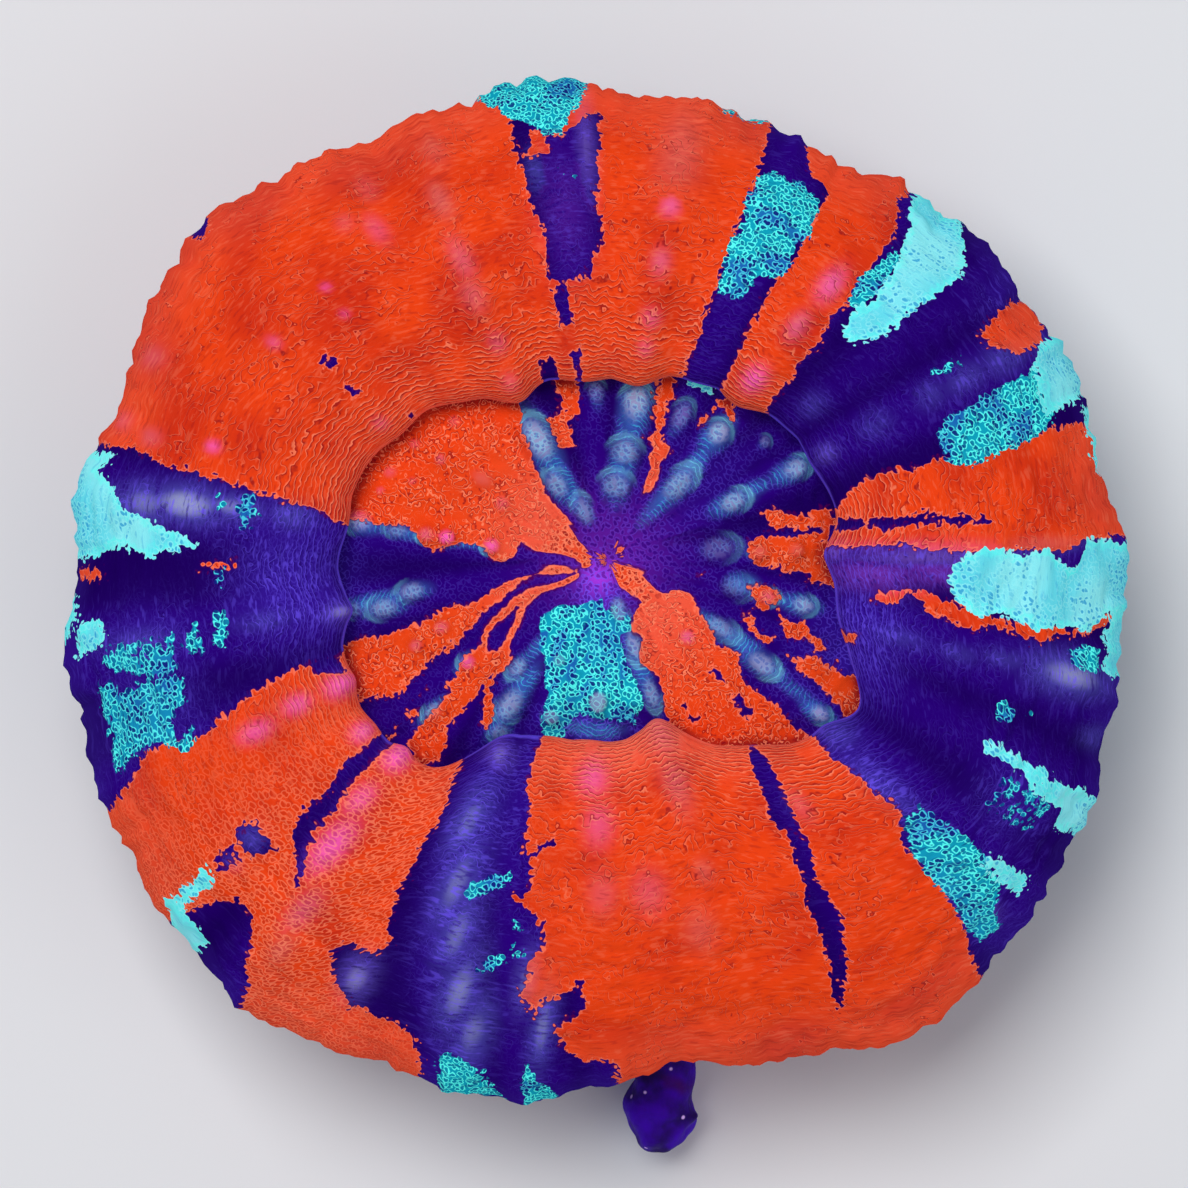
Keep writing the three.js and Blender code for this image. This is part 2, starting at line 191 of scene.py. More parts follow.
# Patches with a winding edge. Each is a row of corners: x and y in millimetres about the mouth.
ORANGE_DISC_OUTLINES: Outlines = (
    (
        (-6.2, 0.6), (-4.4, 0.6), (-3.5, 0.5), (-2.7, 0.1), (-2.1, -0.6), (-1.4, -0.6), (-1.6, 0.6),
        (-2.4, 1.5), (-3.5, 3), (-4.4, 4.6), (-6.4, 3.6),
    ),
    ((-0.9, 0.5), (-0.6, -0.3), (-0.2, -0.3), (-0.4, 0.4)),
    ((0.8, 1.3), (0.9, 0.7), (1.05, 0.2), (1.3, 0.25), (1.2, 0.8), (1.1, 1.3)),
    (
        (-2.6, -0.9), (-4.7, -0.8), (-6, -0.9), (-7.4, -1.3), (-8.5, -1.8), (-9.4, -2.3), (-10.2, -2.8),
        (-11, -3.4), (-11.9, -3.7), (-13.5, -3.8), (-14.7, -4.5), (-15.7, -5.1), (-16.6, -5.7), (-18, -6),
        (-19.6, -6.4), (-21.8, -7.2), (-22.9, -7.9), (-22.9, -9.9), (-21, -11.8), (-19.7, -11.5),
        (-18.3, -11.1), (-17.2, -10.6), (-15.7, -9.3), (-15.4, -8.4), (-14.1, -7.6), (-12.6, -6.5),
        (-11.5, -5.6), (-10.5, -4.3), (-9.7, -3.7), (-8.2, -2.4), (-7.4, -1.8), (-6.1, -1.4),
        (-4.7, -1.3), (-2.6, -1.2),
    ),
    (
        (-2.5, -1), (-2.6, -1.6), (-4.1, -2.3), (-5.5, -2.7), (-6.1, -3.1), (-6.7, -3.7), (-7.1, -4.3),
        (-7.6, -3.7), (-7.6, -3.1), (-6.6, -2.6), (-5.5, -2.2), (-4.1, -1.8), (-3.2, -1.4),
    ),
    (
        (-7.5, -2.9), (-7.2, -3.4), (-7.8, -4), (-8.5, -4.7), (-9.4, -5.4), (-10, -6), (-10.2, -6.7),
        (-10.3, -7.7), (-10.8, -7.7), (-10.7, -6.5), (-10.4, -5.7), (-9.8, -5), (-8.8, -4.2),
        (-8.1, -3.4),
    ),
    (
        (-7.4, -3.6), (-6.9, -3.8), (-7.2, -4.5), (-7.4, -5.3), (-7.8, -6.4), (-8.3, -7.1), (-8.5, -7.9),
        (-9, -7.9), (-8.8, -6.9), (-8.4, -6.1), (-7.9, -5.1), (-7.7, -4.3),
    ),
    (
        (-11.8, -8.2), (-11.1, -7.7), (-10.7, -7.5), (-10.2, -7.9), (-9.7, -7.7), (-9, -7.8),
        (-8.5, -7.9), (-8.2, -8.5), (-9, -9.3), (-10.2, -9.9), (-11, -10.7), (-11.6, -12.1),
        (-12.6, -13.4), (-13.5, -14), (-14.1, -15.1), (-14.3, -16.8), (-15.2, -17.9), (-16.5, -17.9),
        (-16.9, -15.7), (-17.2, -15.1), (-16.5, -14.6), (-15.7, -14), (-14.7, -12.9), (-13.8, -11.8),
        (-13.5, -11), (-13.7, -10.6), (-12.9, -9.8), (-12.6, -8.8),
    ),
    (
        (-17.7, -13.8), (-18.1, -14.2), (-18.5, -14.8), (-19.1, -15.1), (-18.8, -15.7), (-18.1, -15.4),
        (-17.8, -14.7), (-17.9, -14.1),
    ),
    (
        (-9.7, -9.9), (-9.6, -10.5), (-10, -10.6), (-9.9, -11.2), (-9.7, -12.1), (-9.7, -13.4),
        (-10, -14.2), (-10.5, -13.9), (-10.3, -12.9), (-10.6, -12.3), (-10.2, -11.5), (-10.3, -10.6),
    ),
    ((-15.3, -10.7), (-15.3, -11), (-15.7, -11.6), (-15.8, -11.4)),
    ((-16.2, -12.4), (-16.2, -12.9), (-16.6, -13.5), (-16.9, -13.4)),
    (
        (12.3, -1.8), (12.6, -2.2), (13.7, -2.3), (14.1, -2.8), (14.5, -3.2), (14.5, -3.8), (14.4, -4.1),
        (14.9, -4.9), (15.3, -5.5), (15.8, -5.5), (16.2, -5.2), (16.5, -5.7), (16.8, -6.3), (16.3, -6.1),
        (15.9, -6.3), (15.1, -6.4), (15.1, -5.9), (14.8, -5.3), (14.4, -4.7), (14.1, -3.9), (13.7, -3.6),
        (13.1, -3.4), (13.5, -4.1), (12.8, -3.9), (12.5, -3.3), (12.2, -2.7), (12.1, -2.2),
    ),
    (
        (11.6, -4.5), (11.8, -4.8), (12.3, -5), (12.1, -5.3), (11.9, -5.5), (12.5, -5.9), (12.9, -6.3),
        (13.1, -6.5), (13.7, -6.6), (13.5, -7), (13.1, -6.8), (12.6, -6.3), (12, -5.9), (11.5, -5.2),
    ),
    ((17.2, -6.6), (17.5, -6.7), (18.2, -7.2), (18.1, -7.5), (17.6, -7.3), (17.2, -6.9)),
    (
        (14.6, -7.8), (15.1, -7.9), (15.6, -8.4), (15.9, -8.2), (16.3, -8.5), (16.9, -8.5), (17.1, -8.2),
        (17.3, -8.5), (18.6, -8.8), (19.3, -8.9), (19.4, -8.4), (19.6, -8.7), (19.7, -9.5), (20.1, -9.8),
        (20.9, -9.9), (21.2, -10.6), (21.2, -12.9), (20.3, -13.4), (19.9, -13.2), (19.4, -12.2),
        (18.6, -11.4), (17.9, -10.5), (17.2, -9.7), (16.3, -9.2), (15.6, -8.8),
    ),
    ((7.5, -1.2), (8.2, -0.9), (8.6, -1), (8.3, -1.2), (7.7, -1.6)),
    (
        (13.1, 4), (14.1, 4.3), (14.3, 3.9), (15.9, 3.9), (16.8, 3.5), (17.4, 4), (18.1, 4.4), (18.3, 4),
        (19.8, 4), (19.8, 3.2), (18.9, 2.3), (18.5, 1.2), (17.7, 1.7), (16.7, 1.9), (18, 2.2),
        (18.1, 2.9), (17.3, 3), (16.1, 2.4), (15.2, 2.9), (14.3, 2.6), (13.9, 3.3),
    ),
    (
        (11.9, 1.8), (13.1, 2.1), (14.2, 2), (14.7, 1.8), (15.7, 2), (16.7, 1.9), (17.7, 1.7),
        (18.9, 1.3), (19.2, 0.4), (19.6, -0.5), (20.3, -2.6), (19.5, -2.3), (18, -2.2), (16.8, -1.8),
        (17.1, -1.3), (16.1, -0.9), (14.5, -0.9), (14.6, -0.5), (13.3, -0.7), (12.5, -0.3), (11.8, 0.9),
    ),
    (
        (4.2, 15.6), (5.9, 15.6), (5.8, 14.4), (5.9, 13.5), (5.2, 13.1), (5, 12.1), (4.9, 11.6),
        (4.6, 10), (5.5, 9.2), (4.9, 8.9), (4.8, 8.5), (3.8, 8.2), (3.6, 8.6), (3.9, 9.3), (3.7, 10.3),
        (3, 10.5), (3.7, 10.5), (3.8, 11.6), (3.6, 12.4), (3.9, 13.1), (3.6, 13.8), (4.1, 14.5),
    ),
    (
        (4, 8.3), (4.3, 8.2), (4.2, 7.4), (4, 6.8), (3.6, 6.1), (3, 5.5), (2.7, 4.8), (2.4, 5.1),
        (3.1, 6), (3.6, 7), (3.9, 7.6),
    ),
    (
        (9.9, 14.2), (10.5, 13.9), (10.8, 13.2), (10.6, 11.7), (10, 12.2), (9.4, 12.9), (8.9, 12.7),
        (9.1, 13.4), (9.7, 13.7),
    ),
    ((8.3, 12), (8.2, 11.5), (7.9, 11.4), (8, 11.8)),
)
MESH_DISC_OUTLINES: Outlines = (
    (
        (-5.7, -4.8), (-4.4, -4), (-3.4, -4), (-2, -3.5), (-0.6, -3.3), (-0.2, -3.9), (2, -5),
        (1.9, -5.9), (1, -6.4), (1.5, -7.8), (1.6, -8.8), (2.5, -10.2), (2.6, -11.2), (2.8, -11.8),
        (2.3, -12.7), (2.2, -13.5), (0.3, -13.6), (-1.1, -13.4), (-2, -13.4), (-2.9, -13.4),
        (-3.6, -13.9), (-3.6, -14.9), (-4.7, -15.3), (-5.4, -13.8), (-5.7, -13.3), (-5.3, -12.3),
        (-5.1, -11.4), (-5.4, -10), (-5.2, -8.8), (-5.2, -8.2), (-6, -7.6), (-6.1, -6.9), (-6.1, -6.2),
    ),
)
PALE_OUTLINES: Outlines = (
    (
        (-45.1, 10.1), (-44, 9.6), (-43, 9), (-41.7, 8.9), (-41.8, 8.2), (-42.7, 8.1), (-42.7, 7.1),
        (-41.3, 6.3), (-40.6, 5.4), (-40, 4.3), (-39.1, 4), (-38.2, 3.4), (-37.3, 2.8), (-36, 2.5),
        (-35.4, 2.1), (-34.6, 1.3), (-35.3, 1), (-35.9, 1.2), (-36.2, 0.5), (-37, 0.7), (-37.9, 0.6),
        (-38.5, 0.1), (-39.4, 0.4), (-40.1, 0.5), (-41.2, 1), (-42.5, 0.6), (-44, 0.2), (-45.4, 0.1),
        (-47.2, 0.1), (-47.2, 10.1),
    ),
    (
        (-43.6, -5.3), (-43, -5.3), (-42.2, -5.8), (-42, -6.4), (-42.4, -7), (-43.1, -7.5), (-43.9, -7.8),
        (-44.3, -7.9), (-44.4, -7.6), (-44.1, -7), (-44.2, -6.4),
    ),
    (
        (-45.9, -2.4), (-45.4, -3), (-44.9, -4.1), (-44.7, -4.9), (-45.4, -5.6), (-45.5, -6.8),
        (-45.9, -7.3), (-47.2, -7.1), (-47.2, -2.6),
    ),
)
MESH_OUTLINES: Outlines = (
    (
        (-35.4, -6.2), (-34.4, -5.6), (-34.2, -6.8), (-33.9, -7), (-34.1, -8.1), (-34.8, -8.2),
        (-35.3, -7.7),
    ),
    ((-32.4, -4.7), (-32.2, -4.6), (-32, -5.6), (-32.2, -6.9), (-32.5, -6.8), (-32.3, -5.8)),
    (
        (-30.4, 5.4), (-29.9, 5.6), (-29.9, 4.9), (-30.1, 4.5), (-29.8, 4), (-30.3, 3.7), (-30.2, 3),
        (-30.7, 2.8), (-30.5, 3.7), (-30.6, 4.6),
    ),
    ((-32.6, 5.8), (-32.1, 5.9), (-32.2, 5.3), (-32, 4.6), (-32.4, 4.3), (-32.7, 5.3)),
    (
        (-42.1, -8.2), (-40.9, -8), (-40.3, -7.2), (-39.6, -8.2), (-38.6, -8.7), (-37, -8.3),
        (-36.7, -6.5), (-36.2, -5.8), (-36.4, -9), (-38.4, -9.6), (-40.1, -9.3), (-41.7, -9.1),
    ),
    (
        (-42.8, -10.3), (-41.4, -10.3), (-41.1, -11.3), (-39.9, -10.4), (-37.6, -10.2), (-35.7, -9.8),
        (-35.7, -11.5), (-36.2, -12.9), (-36.6, -14), (-35.9, -15.2), (-34.7, -14), (-34.3, -15.2),
        (-35.5, -16.1), (-37, -15.3), (-39, -15.7), (-40.1, -16.9), (-40.9, -17.7), (-42.1, -16.2),
        (-42.4, -14), (-42.8, -11.9),
    ),
    (
        (-13.5, -40.9), (-12.6, -41.7), (-11.6, -42.3), (-10.6, -43.1), (-10.6, -43.9), (-9.6, -44.7),
        (-8.5, -45.8), (-8.8, -46.3), (-10, -45.9), (-11, -45.7), (-12.2, -45.7), (-13.7, -44.7),
        (-13.8, -43.1), (-14, -41.7),
    ),
    (
        (-6.7, -42.5), (-6.2, -43.3), (-5.5, -44), (-4.5, -44.6), (-3.9, -45.3), (-2.5, -45.7),
        (-3.6, -46.5), (-5.2, -46.5), (-7.1, -46.3), (-7.1, -44.1), (-7, -43.1),
    ),
    (
        (-11.6, -27.5), (-10.8, -27.2), (-9.6, -26.6), (-8.3, -26.3), (-8.1, -26.6), (-8.8, -27.1),
        (-9.8, -27.4), (-10.7, -27.9), (-11.4, -27.9),
    ),
    ((-8, -29.5), (-7.6, -29.4), (-7.2, -30.4), (-7.3, -31), (-7.8, -30.8)),
    ((-8, -31.8), (-7.7, -32.5), (-7.1, -32.5), (-7.2, -32.9), (-7.8, -32.9)),
    ((-9, -33.1), (-8.7, -33.3), (-9.6, -33.9), (-10, -34.4), (-10.9, -34.3), (-10, -33.6)),
)
FAINT_OUTLINES: Outlines = (
    (
        (-42.8, -8.6), (-41.3, -7), (-39.2, -6.6), (-36.6, -5.6), (-36.3, -9.4), (-39.8, -9.6),
        (-42.1, -9.6),
    ),
    ((-33.6, -0.9), (-32, -0.2), (-31.8, -1.4), (-32.2, -2.6), (-33.2, -2.2)),
)
CUT_OUTLINES: Outlines = (
    (
        (-18.6, -31.8), (-19.2, -32.9), (-20.3, -32.7), (-21.4, -32.2), (-22.6, -32.4), (-23.3, -33.3),
        (-23.5, -34.5), (-22.9, -35.8), (-21.9, -36.9), (-21.7, -37.7), (-20.5, -38), (-19.4, -38.6),
        (-18.1, -38.9), (-17.4, -39.4), (-16, -40.3), (-16.5, -41), (-16, -41.7), (-15.6, -43),
        (-14, -43.9), (-13.6, -47), (-10, -47), (-10, -31.8),
    ),
    (
        (-7.3, -19.9), (-6.6, -20.3), (-6.4, -21.6), (-6.7, -23.2), (-7, -24.6), (-4.8, -23.6),
        (-4.6, -24.2), (-6.4, -25.2), (-6.6, -26.2), (-6.4, -27.2), (-7.2, -28.4), (-9.6, -27.2),
        (-9.2, -21.2),
    ),
    (
        (-7.2, -28.4), (-6.4, -29.6), (-5.6, -30.4), (-5.4, -31.2), (-5, -32.2), (-5.8, -32.8),
        (-6.2, -33.8), (-6.4, -34.7), (-7.1, -36.1), (-8, -35.9), (-9.2, -31.2),
    ),
    (
        (-7.1, -36.1), (-7, -36.9), (-6, -38.2), (-5.6, -37.1), (-4.8, -36.5), (-3.6, -36.3),
        (-2.5, -35.5), (-1.6, -37.1), (-2.2, -38.2), (-3.6, -38.8), (-4.2, -39.1), (-3.6, -40.4),
        (-2.6, -41.4), (-1.8, -42.1), (-1.2, -41.3), (0, -41.3), (1, -42.1), (1.4, -43), (0.4, -43.9),
        (-3.6, -43.9), (-6.4, -41.1), (-8, -37.1),
    ),
)


class Pattern(Enum):
    """The fields of the skin that the flesh's finish reads, by attribute name."""

    ORANGE = "orange"
    PALE = "pale"
    MESH = "mesh"
    BLUE = "blue"
    RIDGE = "ridge"
    GLOW = "glow"
    TOOTH = "tooth"
    POWER = "power"
    MAGENTA = "magenta"
    DISC = "disc"
    SALMON_AND_HIGHLIGHT = "lip"
    MOUTH = "mouth"
    SHADE = "shade"
    JAG = "jag"
    CELLS = "cells"
    OUTER = "outer"
    RINGS = "rings"
    CLOUD = "cloud"
    BREAKS = "breaks"
    WAVE = "wave"
    PITCH = "pitch"
    SWAY = "sway"
    UNDER = "under"


SKIN_PLACE = "skin"
GRAIN_PLACE = "grain"
OUTLINE_MARGIN = 3.0
OUTSIDE = -99.0
FAR_OVAL = 9.0


def bell(distance: np.ndarray, half_width: np.ndarray | float) -> np.ndarray:
    """A bell curve of height 1: the exponential of minus the square of distance over half width."""
    return np.exp(-np.square(distance / half_width))


def ramp(value: np.ndarray, low: np.ndarray | float, high: np.ndarray | float) -> np.ndarray:
    """A smooth step from 0 at low to 1 at high: t squared times (3 - 2 t)."""
    share = np.clip((value - low) / (high - low), 0, 1)
    return share * share * (3 - 2 * share)


def turn_between(first: np.ndarray, second: np.ndarray | float) -> np.ndarray:
    """The smaller angle from the second bearing to the first, in degrees with its sign."""
    return np.mod(first - second + 180, 360) - 180


def around(bearing: np.ndarray, radius: np.ndarray | float, height: np.ndarray | float) -> np.ndarray:
    """Points at bearings in degrees, radii and heights, as x, y and z in the last axis."""
    turn = np.radians(bearing)
    return np.stack(np.broadcast_arrays(radius * np.cos(turn), radius * np.sin(turn), height), -1)


def through(a: np.ndarray, b: np.ndarray, c: np.ndarray, d: np.ndarray, share: np.ndarray) -> np.ndarray:
    """Catmull-Rom points between b and c: b + t/2 (c - a + t (2a - 5b + 4c - d + t (3(b - c) + d - a))).

    Args:
        a: the points before b.
        b: the points where the spans start.
        c: the points where they end.
        d: the points after c.
        share: t, how far along each span, from 0 to 1.

    Returns:
        The points.
    """
    bend = 2 * a - 5 * b + 4 * c - d
    twist = 3 * (b - c) + d - a
    return b + 0.5 * share * (c - a + share * (bend + share * twist))


def round_ring(values: tuple[float, ...], bearing: np.ndarray) -> np.ndarray:
    """A value at each bearing from a ring of values at even steps, by Catmull-Rom round the ring.

    Args:
        values: one value for each even step from bearing 0.
        bearing: bearings in degrees.

    Returns:
        The ring's value at each bearing.
    """
    ring = np.asarray(values)
    place = np.mod(bearing, 360) / 360 * len(ring)
    first = np.floor(place).astype(int)
    a, b, c, d = (ring[(first + step) % len(ring)] for step in (-1, 0, 1, 2))
    return through(a, b, c, d, place - first)


def along_curve(points: np.ndarray, places: np.ndarray) -> np.ndarray:
    """Points at given places of Catmull-Rom curves, with each end carried straight on.

    Args:
        points: control points, as control by curve by coordinate.
        places: places along the curves, from 0 to the number of spans.

    Returns:
        The points, as place by curve by coordinate.
    """
    ends = 2 * points[0] - points[1], 2 * points[-1] - points[-2]
    padded = np.concatenate([ends[0][None], points, ends[1][None]])
    span = np.minimum(places.astype(int), len(points) - 2)
    share = (places - span)[:, None, None]
    a, b, c, d = (padded[span + step] for step in range(4))
    return through(a, b, c, d, share)


def patch_depth(patches: Patches, bearing: np.ndarray, reach: np.ndarray) -> np.ndarray:
    """How deep each point lies inside the nearest of some patches, in millimetres, and below 0 outside them.

    Between two stations a patch's middle and half width run straight. A point's depth is the least of its
    distances to the two sides, as arcs, and to the two ends; the deepest patch counts.

    Args:
        patches: the patches' stations.
        bearing: the points' bearings in degrees.
        reach: the points' reach in millimetres.

    Returns:
        The depth at each point.
    """
    deepest = np.full(np.broadcast(bearing, reach).shape, OUTSIDE)
    for stations in patches:
        reaches, firsts, lasts = np.array(stations).T
        middle = np.interp(reach, reaches, (firsts + lasts) / 2)
        half = np.interp(reach, reaches, (lasts - firsts) / 2)
        side = np.radians(half - np.abs(turn_between(bearing, middle))) * reach
        ends = np.minimum(reach - reaches[0], reaches[-1] - reach)
        deepest = np.maximum(deepest, np.minimum(side, ends))
    return deepest


def outline_depth(outlines: Outlines, x: np.ndarray, y: np.ndarray) -> np.ndarray:
    """How deep each point lies inside the nearest of some outlines, in millimetres, and below 0 outside them.

    The depth is the distance to the nearest side. A point is inside when a line from it along +X crosses the
    sides an odd number of times. Only points near an outline are worked out.

    Args:
        outlines: the outlines' corners.
        x: the points' x in millimetres.
        y: the points' y in millimetres.

    Returns:
        The depth at each point.
    """
    deepest = np.full(x.shape, -OUTLINE_MARGIN)
    for outline in outlines:
        corners = np.array(outline)
        low, high = corners.min(0) - OUTLINE_MARGIN, corners.max(0) + OUTLINE_MARGIN
        near = (x > low[0]) & (x < high[0]) & (y > low[1]) & (y < high[1])
        px, py = x[near][:, None], y[near][:, None]
        ax, ay = corners.T
        run, rise = (np.roll(corners, -1, 0) - corners).T
        along = np.clip(((px - ax) * run + (py - ay) * rise) / (run**2 + rise**2), 0, 1)
        gap = np.hypot(px - ax - along * run, py - ay - along * rise).min(1)
        spans = (ay > py) != (ay + rise > py)
        crossed = spans & (px < ax + run * (py - ay) / np.where(rise == 0, 1, rise))
        inside = crossed.sum(1) % 2 == 1
        deepest[near] = np.maximum(deepest[near], np.where(inside, gap, -gap))
    return deepest


@dataclass(frozen=True)
class Grain:
    """Wavy noise on a sheet that closes on itself: round the mouth in turns, and outwards in millimetres.

    White noise is smoothed by a bell of the given spreads, the same noise smoothed more widely is taken
    away, and what is left is scaled to a spread of 1. Long spreads one way make wrinkles.
    """

    seed: int
    spread_deg: float
    spread_mm: float
    columns: int = 1440
    rows: int = 800
    cell_mm: float = 0.1
    widen: float = 1.8

    def sheet(self) -> np.ndarray:
        """The noise on its own sheet, by the Fourier transform.

        Returns:
            The noise, as row by column.
        """
        noise = np.random.default_rng(self.seed).standard_normal((self.rows, self.columns))
        outwards = np.fft.fftfreq(self.rows)[:, None] * self.spread_mm / self.cell_mm
        around = np.fft.rfftfreq(self.columns)[None] * self.spread_deg * self.columns / 360
        power = 2 * np.pi**2 * (outwards**2 + around**2)
        band = np.exp(-power) - np.exp(-power * self.widen**2)
        waves = np.fft.irfft2(np.fft.rfft2(noise) * band, s=noise.shape)
        return waves / waves.std()

    def at(self, bearing: np.ndarray, outwards: np.ndarray) -> np.ndarray:
        """The noise at points of the skin, straight between the sheet's cells.

        Args:
            bearing: the points' bearings in degrees.
            outwards: their distance along the sheet in millimetres.

        Returns:
            The noise at each point.
        """
        sheet = self.sheet()
        column = np.mod(bearing, 360) / 360 * self.columns
        row = np.mod(outwards / self.cell_mm, self.rows)
        column, row = np.broadcast_arrays(column, row)
        left, low = np.floor(column).astype(int), np.floor(row).astype(int)
        right, high = (left + 1) % self.columns, (low + 1) % self.rows
        left, low = left % self.columns, low % self.rows
        x, y = column - np.floor(column), row - np.floor(row)
        near = sheet[low, left] * (1 - x) + sheet[low, right] * x
        far = sheet[high, left] * (1 - x) + sheet[high, right] * x
        return near * (1 - y) + far * y


def closed_skin(name: str, grid: np.ndarray) -> bpy.types.Object:
    """A closed mesh from a grid of rings: quads between rings, fans at the poles, faces pointing out.

    Args:
        name: the piece's name.
        grid: points in millimetres, as ring by step by coordinate. The first and last rings are single
            points. Steps go round anticlockwise seen from above, and rings go outwards over the top.

    Returns:
        The new object, at the origin, with points in metres in the grid's order.
    """
    rings, steps = grid.shape[:2]
    points = np.concatenate([grid[:1, 0], grid[1:-1].reshape(-1, 3), grid[-1:, 0]]) * MM
    step = np.arange(steps)
    after = (step + 1) % steps
    start = 1 + np.arange(rings - 3)[:, None] * steps
    quads = np.stack([start + step, start + steps + step, start + steps + after, start + after], -1)
    last = 1 + (rings - 3) * steps
    top = np.stack([np.zeros(steps, int), 1 + step, 1 + after], -1)
    foot = np.stack([np.full(steps, len(points) - 1), last + after, last + step], -1)
    mesh = bpy.data.meshes.new(name)
    mesh.from_pydata(points, [], quads.reshape(-1, 4).tolist() + top.tolist() + foot.tolist())
    mesh.polygons.foreach_set("use_smooth", np.ones(len(mesh.polygons), bool))
    mesh.update()
    piece = bpy.data.objects.new(name, mesh)
    bpy.context.scene.collection.objects.link(piece)
    return piece


def put_field(piece: bpy.types.Object, name: str, grid: np.ndarray, spare: int) -> None:
    """Stores a field of a ring grid on a piece's points: numbers, or places where it has three columns.

    Args:
        piece: a piece from closed_skin.
        name: the attribute's name.
        grid: the field, one value or three for each point of the grid.
        spare: how many rings of the piece come after the grid's. They take its last ring's values.
    """
    grid = np.concatenate([grid, np.repeat(grid[-1:], spare, 0)])
    values = np.concatenate([grid[:1, 0], grid[1:-1].reshape(-1, *grid.shape[2:]), grid[-1:, 0]])
    is_place = values.ndim == 2
    attribute = piece.data.attributes.new(name, "FLOAT_VECTOR" if is_place else "FLOAT", "POINT")
    attribute.data.foreach_set("vector" if is_place else "value", values.astype(np.float32).ravel())


class Wire:
    """An output socket. Arithmetic on it adds Math nodes to its sheet."""

    def __init__(self, sheet: "NodeSheet", socket: bpy.types.NodeSocket) -> None:
        """Keeps the socket and the sheet that it is on."""
        self.sheet = sheet
        self.socket = socket

    def other(self, output: str) -> "Wire":
        """Another output of the same node."""
        return Wire(self.sheet, self.socket.node.outputs[output])

    def __add__(self, value: "Wire | float") -> "Wire":
        """Self plus a value."""
        return self.sheet.math("ADD", self, value)

    def __sub__(self, value: "Wire | float") -> "Wire":
        """Self less a value."""
        return self.sheet.math("SUBTRACT", self, value)

    def __rsub__(self, value: float) -> "Wire":
        """A value less self."""
        return self.sheet.math("SUBTRACT", value, self)

    def __mul__(self, value: "Wire | float") -> "Wire":
        """Self times a value."""
        return self.sheet.math("MULTIPLY", self, value)

    def __or__(self, value: "Wire | float") -> "Wire":
        """The larger of self and a value."""
        return self.sheet.math("MAXIMUM", self, value)

    def step(self, low: float, high: float) -> "Wire":
        """A smooth step of self from 0 at low to 1 at high."""
        inputs = {"Value": self, "From Min": low, "From Max": high}
        return self.sheet.add("ShaderNodeMapRange", {"interpolation_type": "SMOOTHSTEP"}, inputs)


class NodeSheet:
    """The nodes of one material, with a Principled shader as its output."""

    def __init__(self, name: str) -> None:
        """Starts an empty sheet for a new material.

        Args:
            name: the material's name.
        """
        self.material = bpy.data.materials.new(name)
        self.material.use_nodes = True
        self.tree = self.material.node_tree
        self.tree.nodes.clear()

    def add(self, kind: str, settings: Settings, inputs: Inputs, output: str | int = 0) -> Wire:
        """Adds any node.

        Args:
            kind: the node's type.
            settings: its own settings, which are set first.
            inputs: values or wires for its sockets, by name or number.
            output: the output to give back, by name or number.

        Returns:
            That output.
        """
        node = self.tree.nodes.new(kind)
        for name, value in settings.items():
            setattr(node, name, value)
        for key, value in inputs.items():
            socket = node.inputs[key]
            if isinstance(value, Wire):
                self.tree.links.new(value.socket, socket)
            elif socket.type == "RGBA":
                socket.default_value = (*value, 1)
            else:
                socket.default_value = value
        return Wire(self, node.outputs[output])

    def math(self, operation: str, *values: Wire | float) -> Wire:
        """A Math node on the given values."""
        return self.add("ShaderNodeMath", {"operation": operation}, dict(enumerate(values)))

    def field(self, name: str, output: str = "Fac") -> Wire:
        """A field stored on the piece's points."""
        return self.add("ShaderNodeAttribute", {"attribute_name": name}, {}, output)

    def noise(self, place: Wire, scale: float, detail: float, flat: bool = True) -> Wire:
        """Noise about 0.5.

        Args:
            place: where it is read.
            scale: how many waves there are in a unit of place.
            detail: how many finer noises are added.
            flat: whether it varies over the first two axes only.

        Returns:
            The noise.
        """
        settings = {"noise_dimensions": "2D" if flat else "3D"}
        return self.add("ShaderNodeTexNoise", settings, {"Vector": place, "Scale": scale, "Detail": detail})

    def cells(self, place: Wire, scale: float, chance: float = 1.0, flat: bool = True) -> Wire:
        """The distance to the nearest point of scattered cells.

        Args:
            place: where it is read.
            scale: how many cells there are in a unit of place.
            chance: how far the cells depart from a regular grid, from 0 to 1.
            flat: whether they vary over the first two axes only.

        Returns:
            The distance, in cells.
        """
        settings = {"feature": "F1", "voronoi_dimensions": "2D" if flat else "3D"}
        inputs = {"Vector": place, "Scale": scale, "Randomness": chance}
        return self.add("ShaderNodeTexVoronoi", settings, inputs, "Distance")

    def mix(self, share: Wire | float, first: Wire | Colour, second: Wire | Colour) -> Wire:
        """The first colour blended into the second by a share."""
        return self.add("ShaderNodeMix", {"data_type": "RGBA"}, {0: share, 6: first, 7: second}, 2)

    def push(self, place: Wire, amount: Wire, way: Vector) -> Wire:
        """A place moved by an amount along a way."""
        return self.add("ShaderNodeVectorMath", {"operation": "MULTIPLY_ADD"}, {0: amount, 1: way, 2: place})

    def finish(self, inputs: Inputs) -> bpy.types.Material:
        """Closes the sheet with a Principled shader.

        Args:
            inputs: values or wires for the shader's sockets.

        Returns:
            The finished material.
        """
        shader = self.add("ShaderNodeBsdfPrincipled", {}, inputs)
        output = self.tree.nodes.new("ShaderNodeOutputMaterial")
        self.tree.links.new(shader.socket, output.inputs["Surface"])
        return self.material


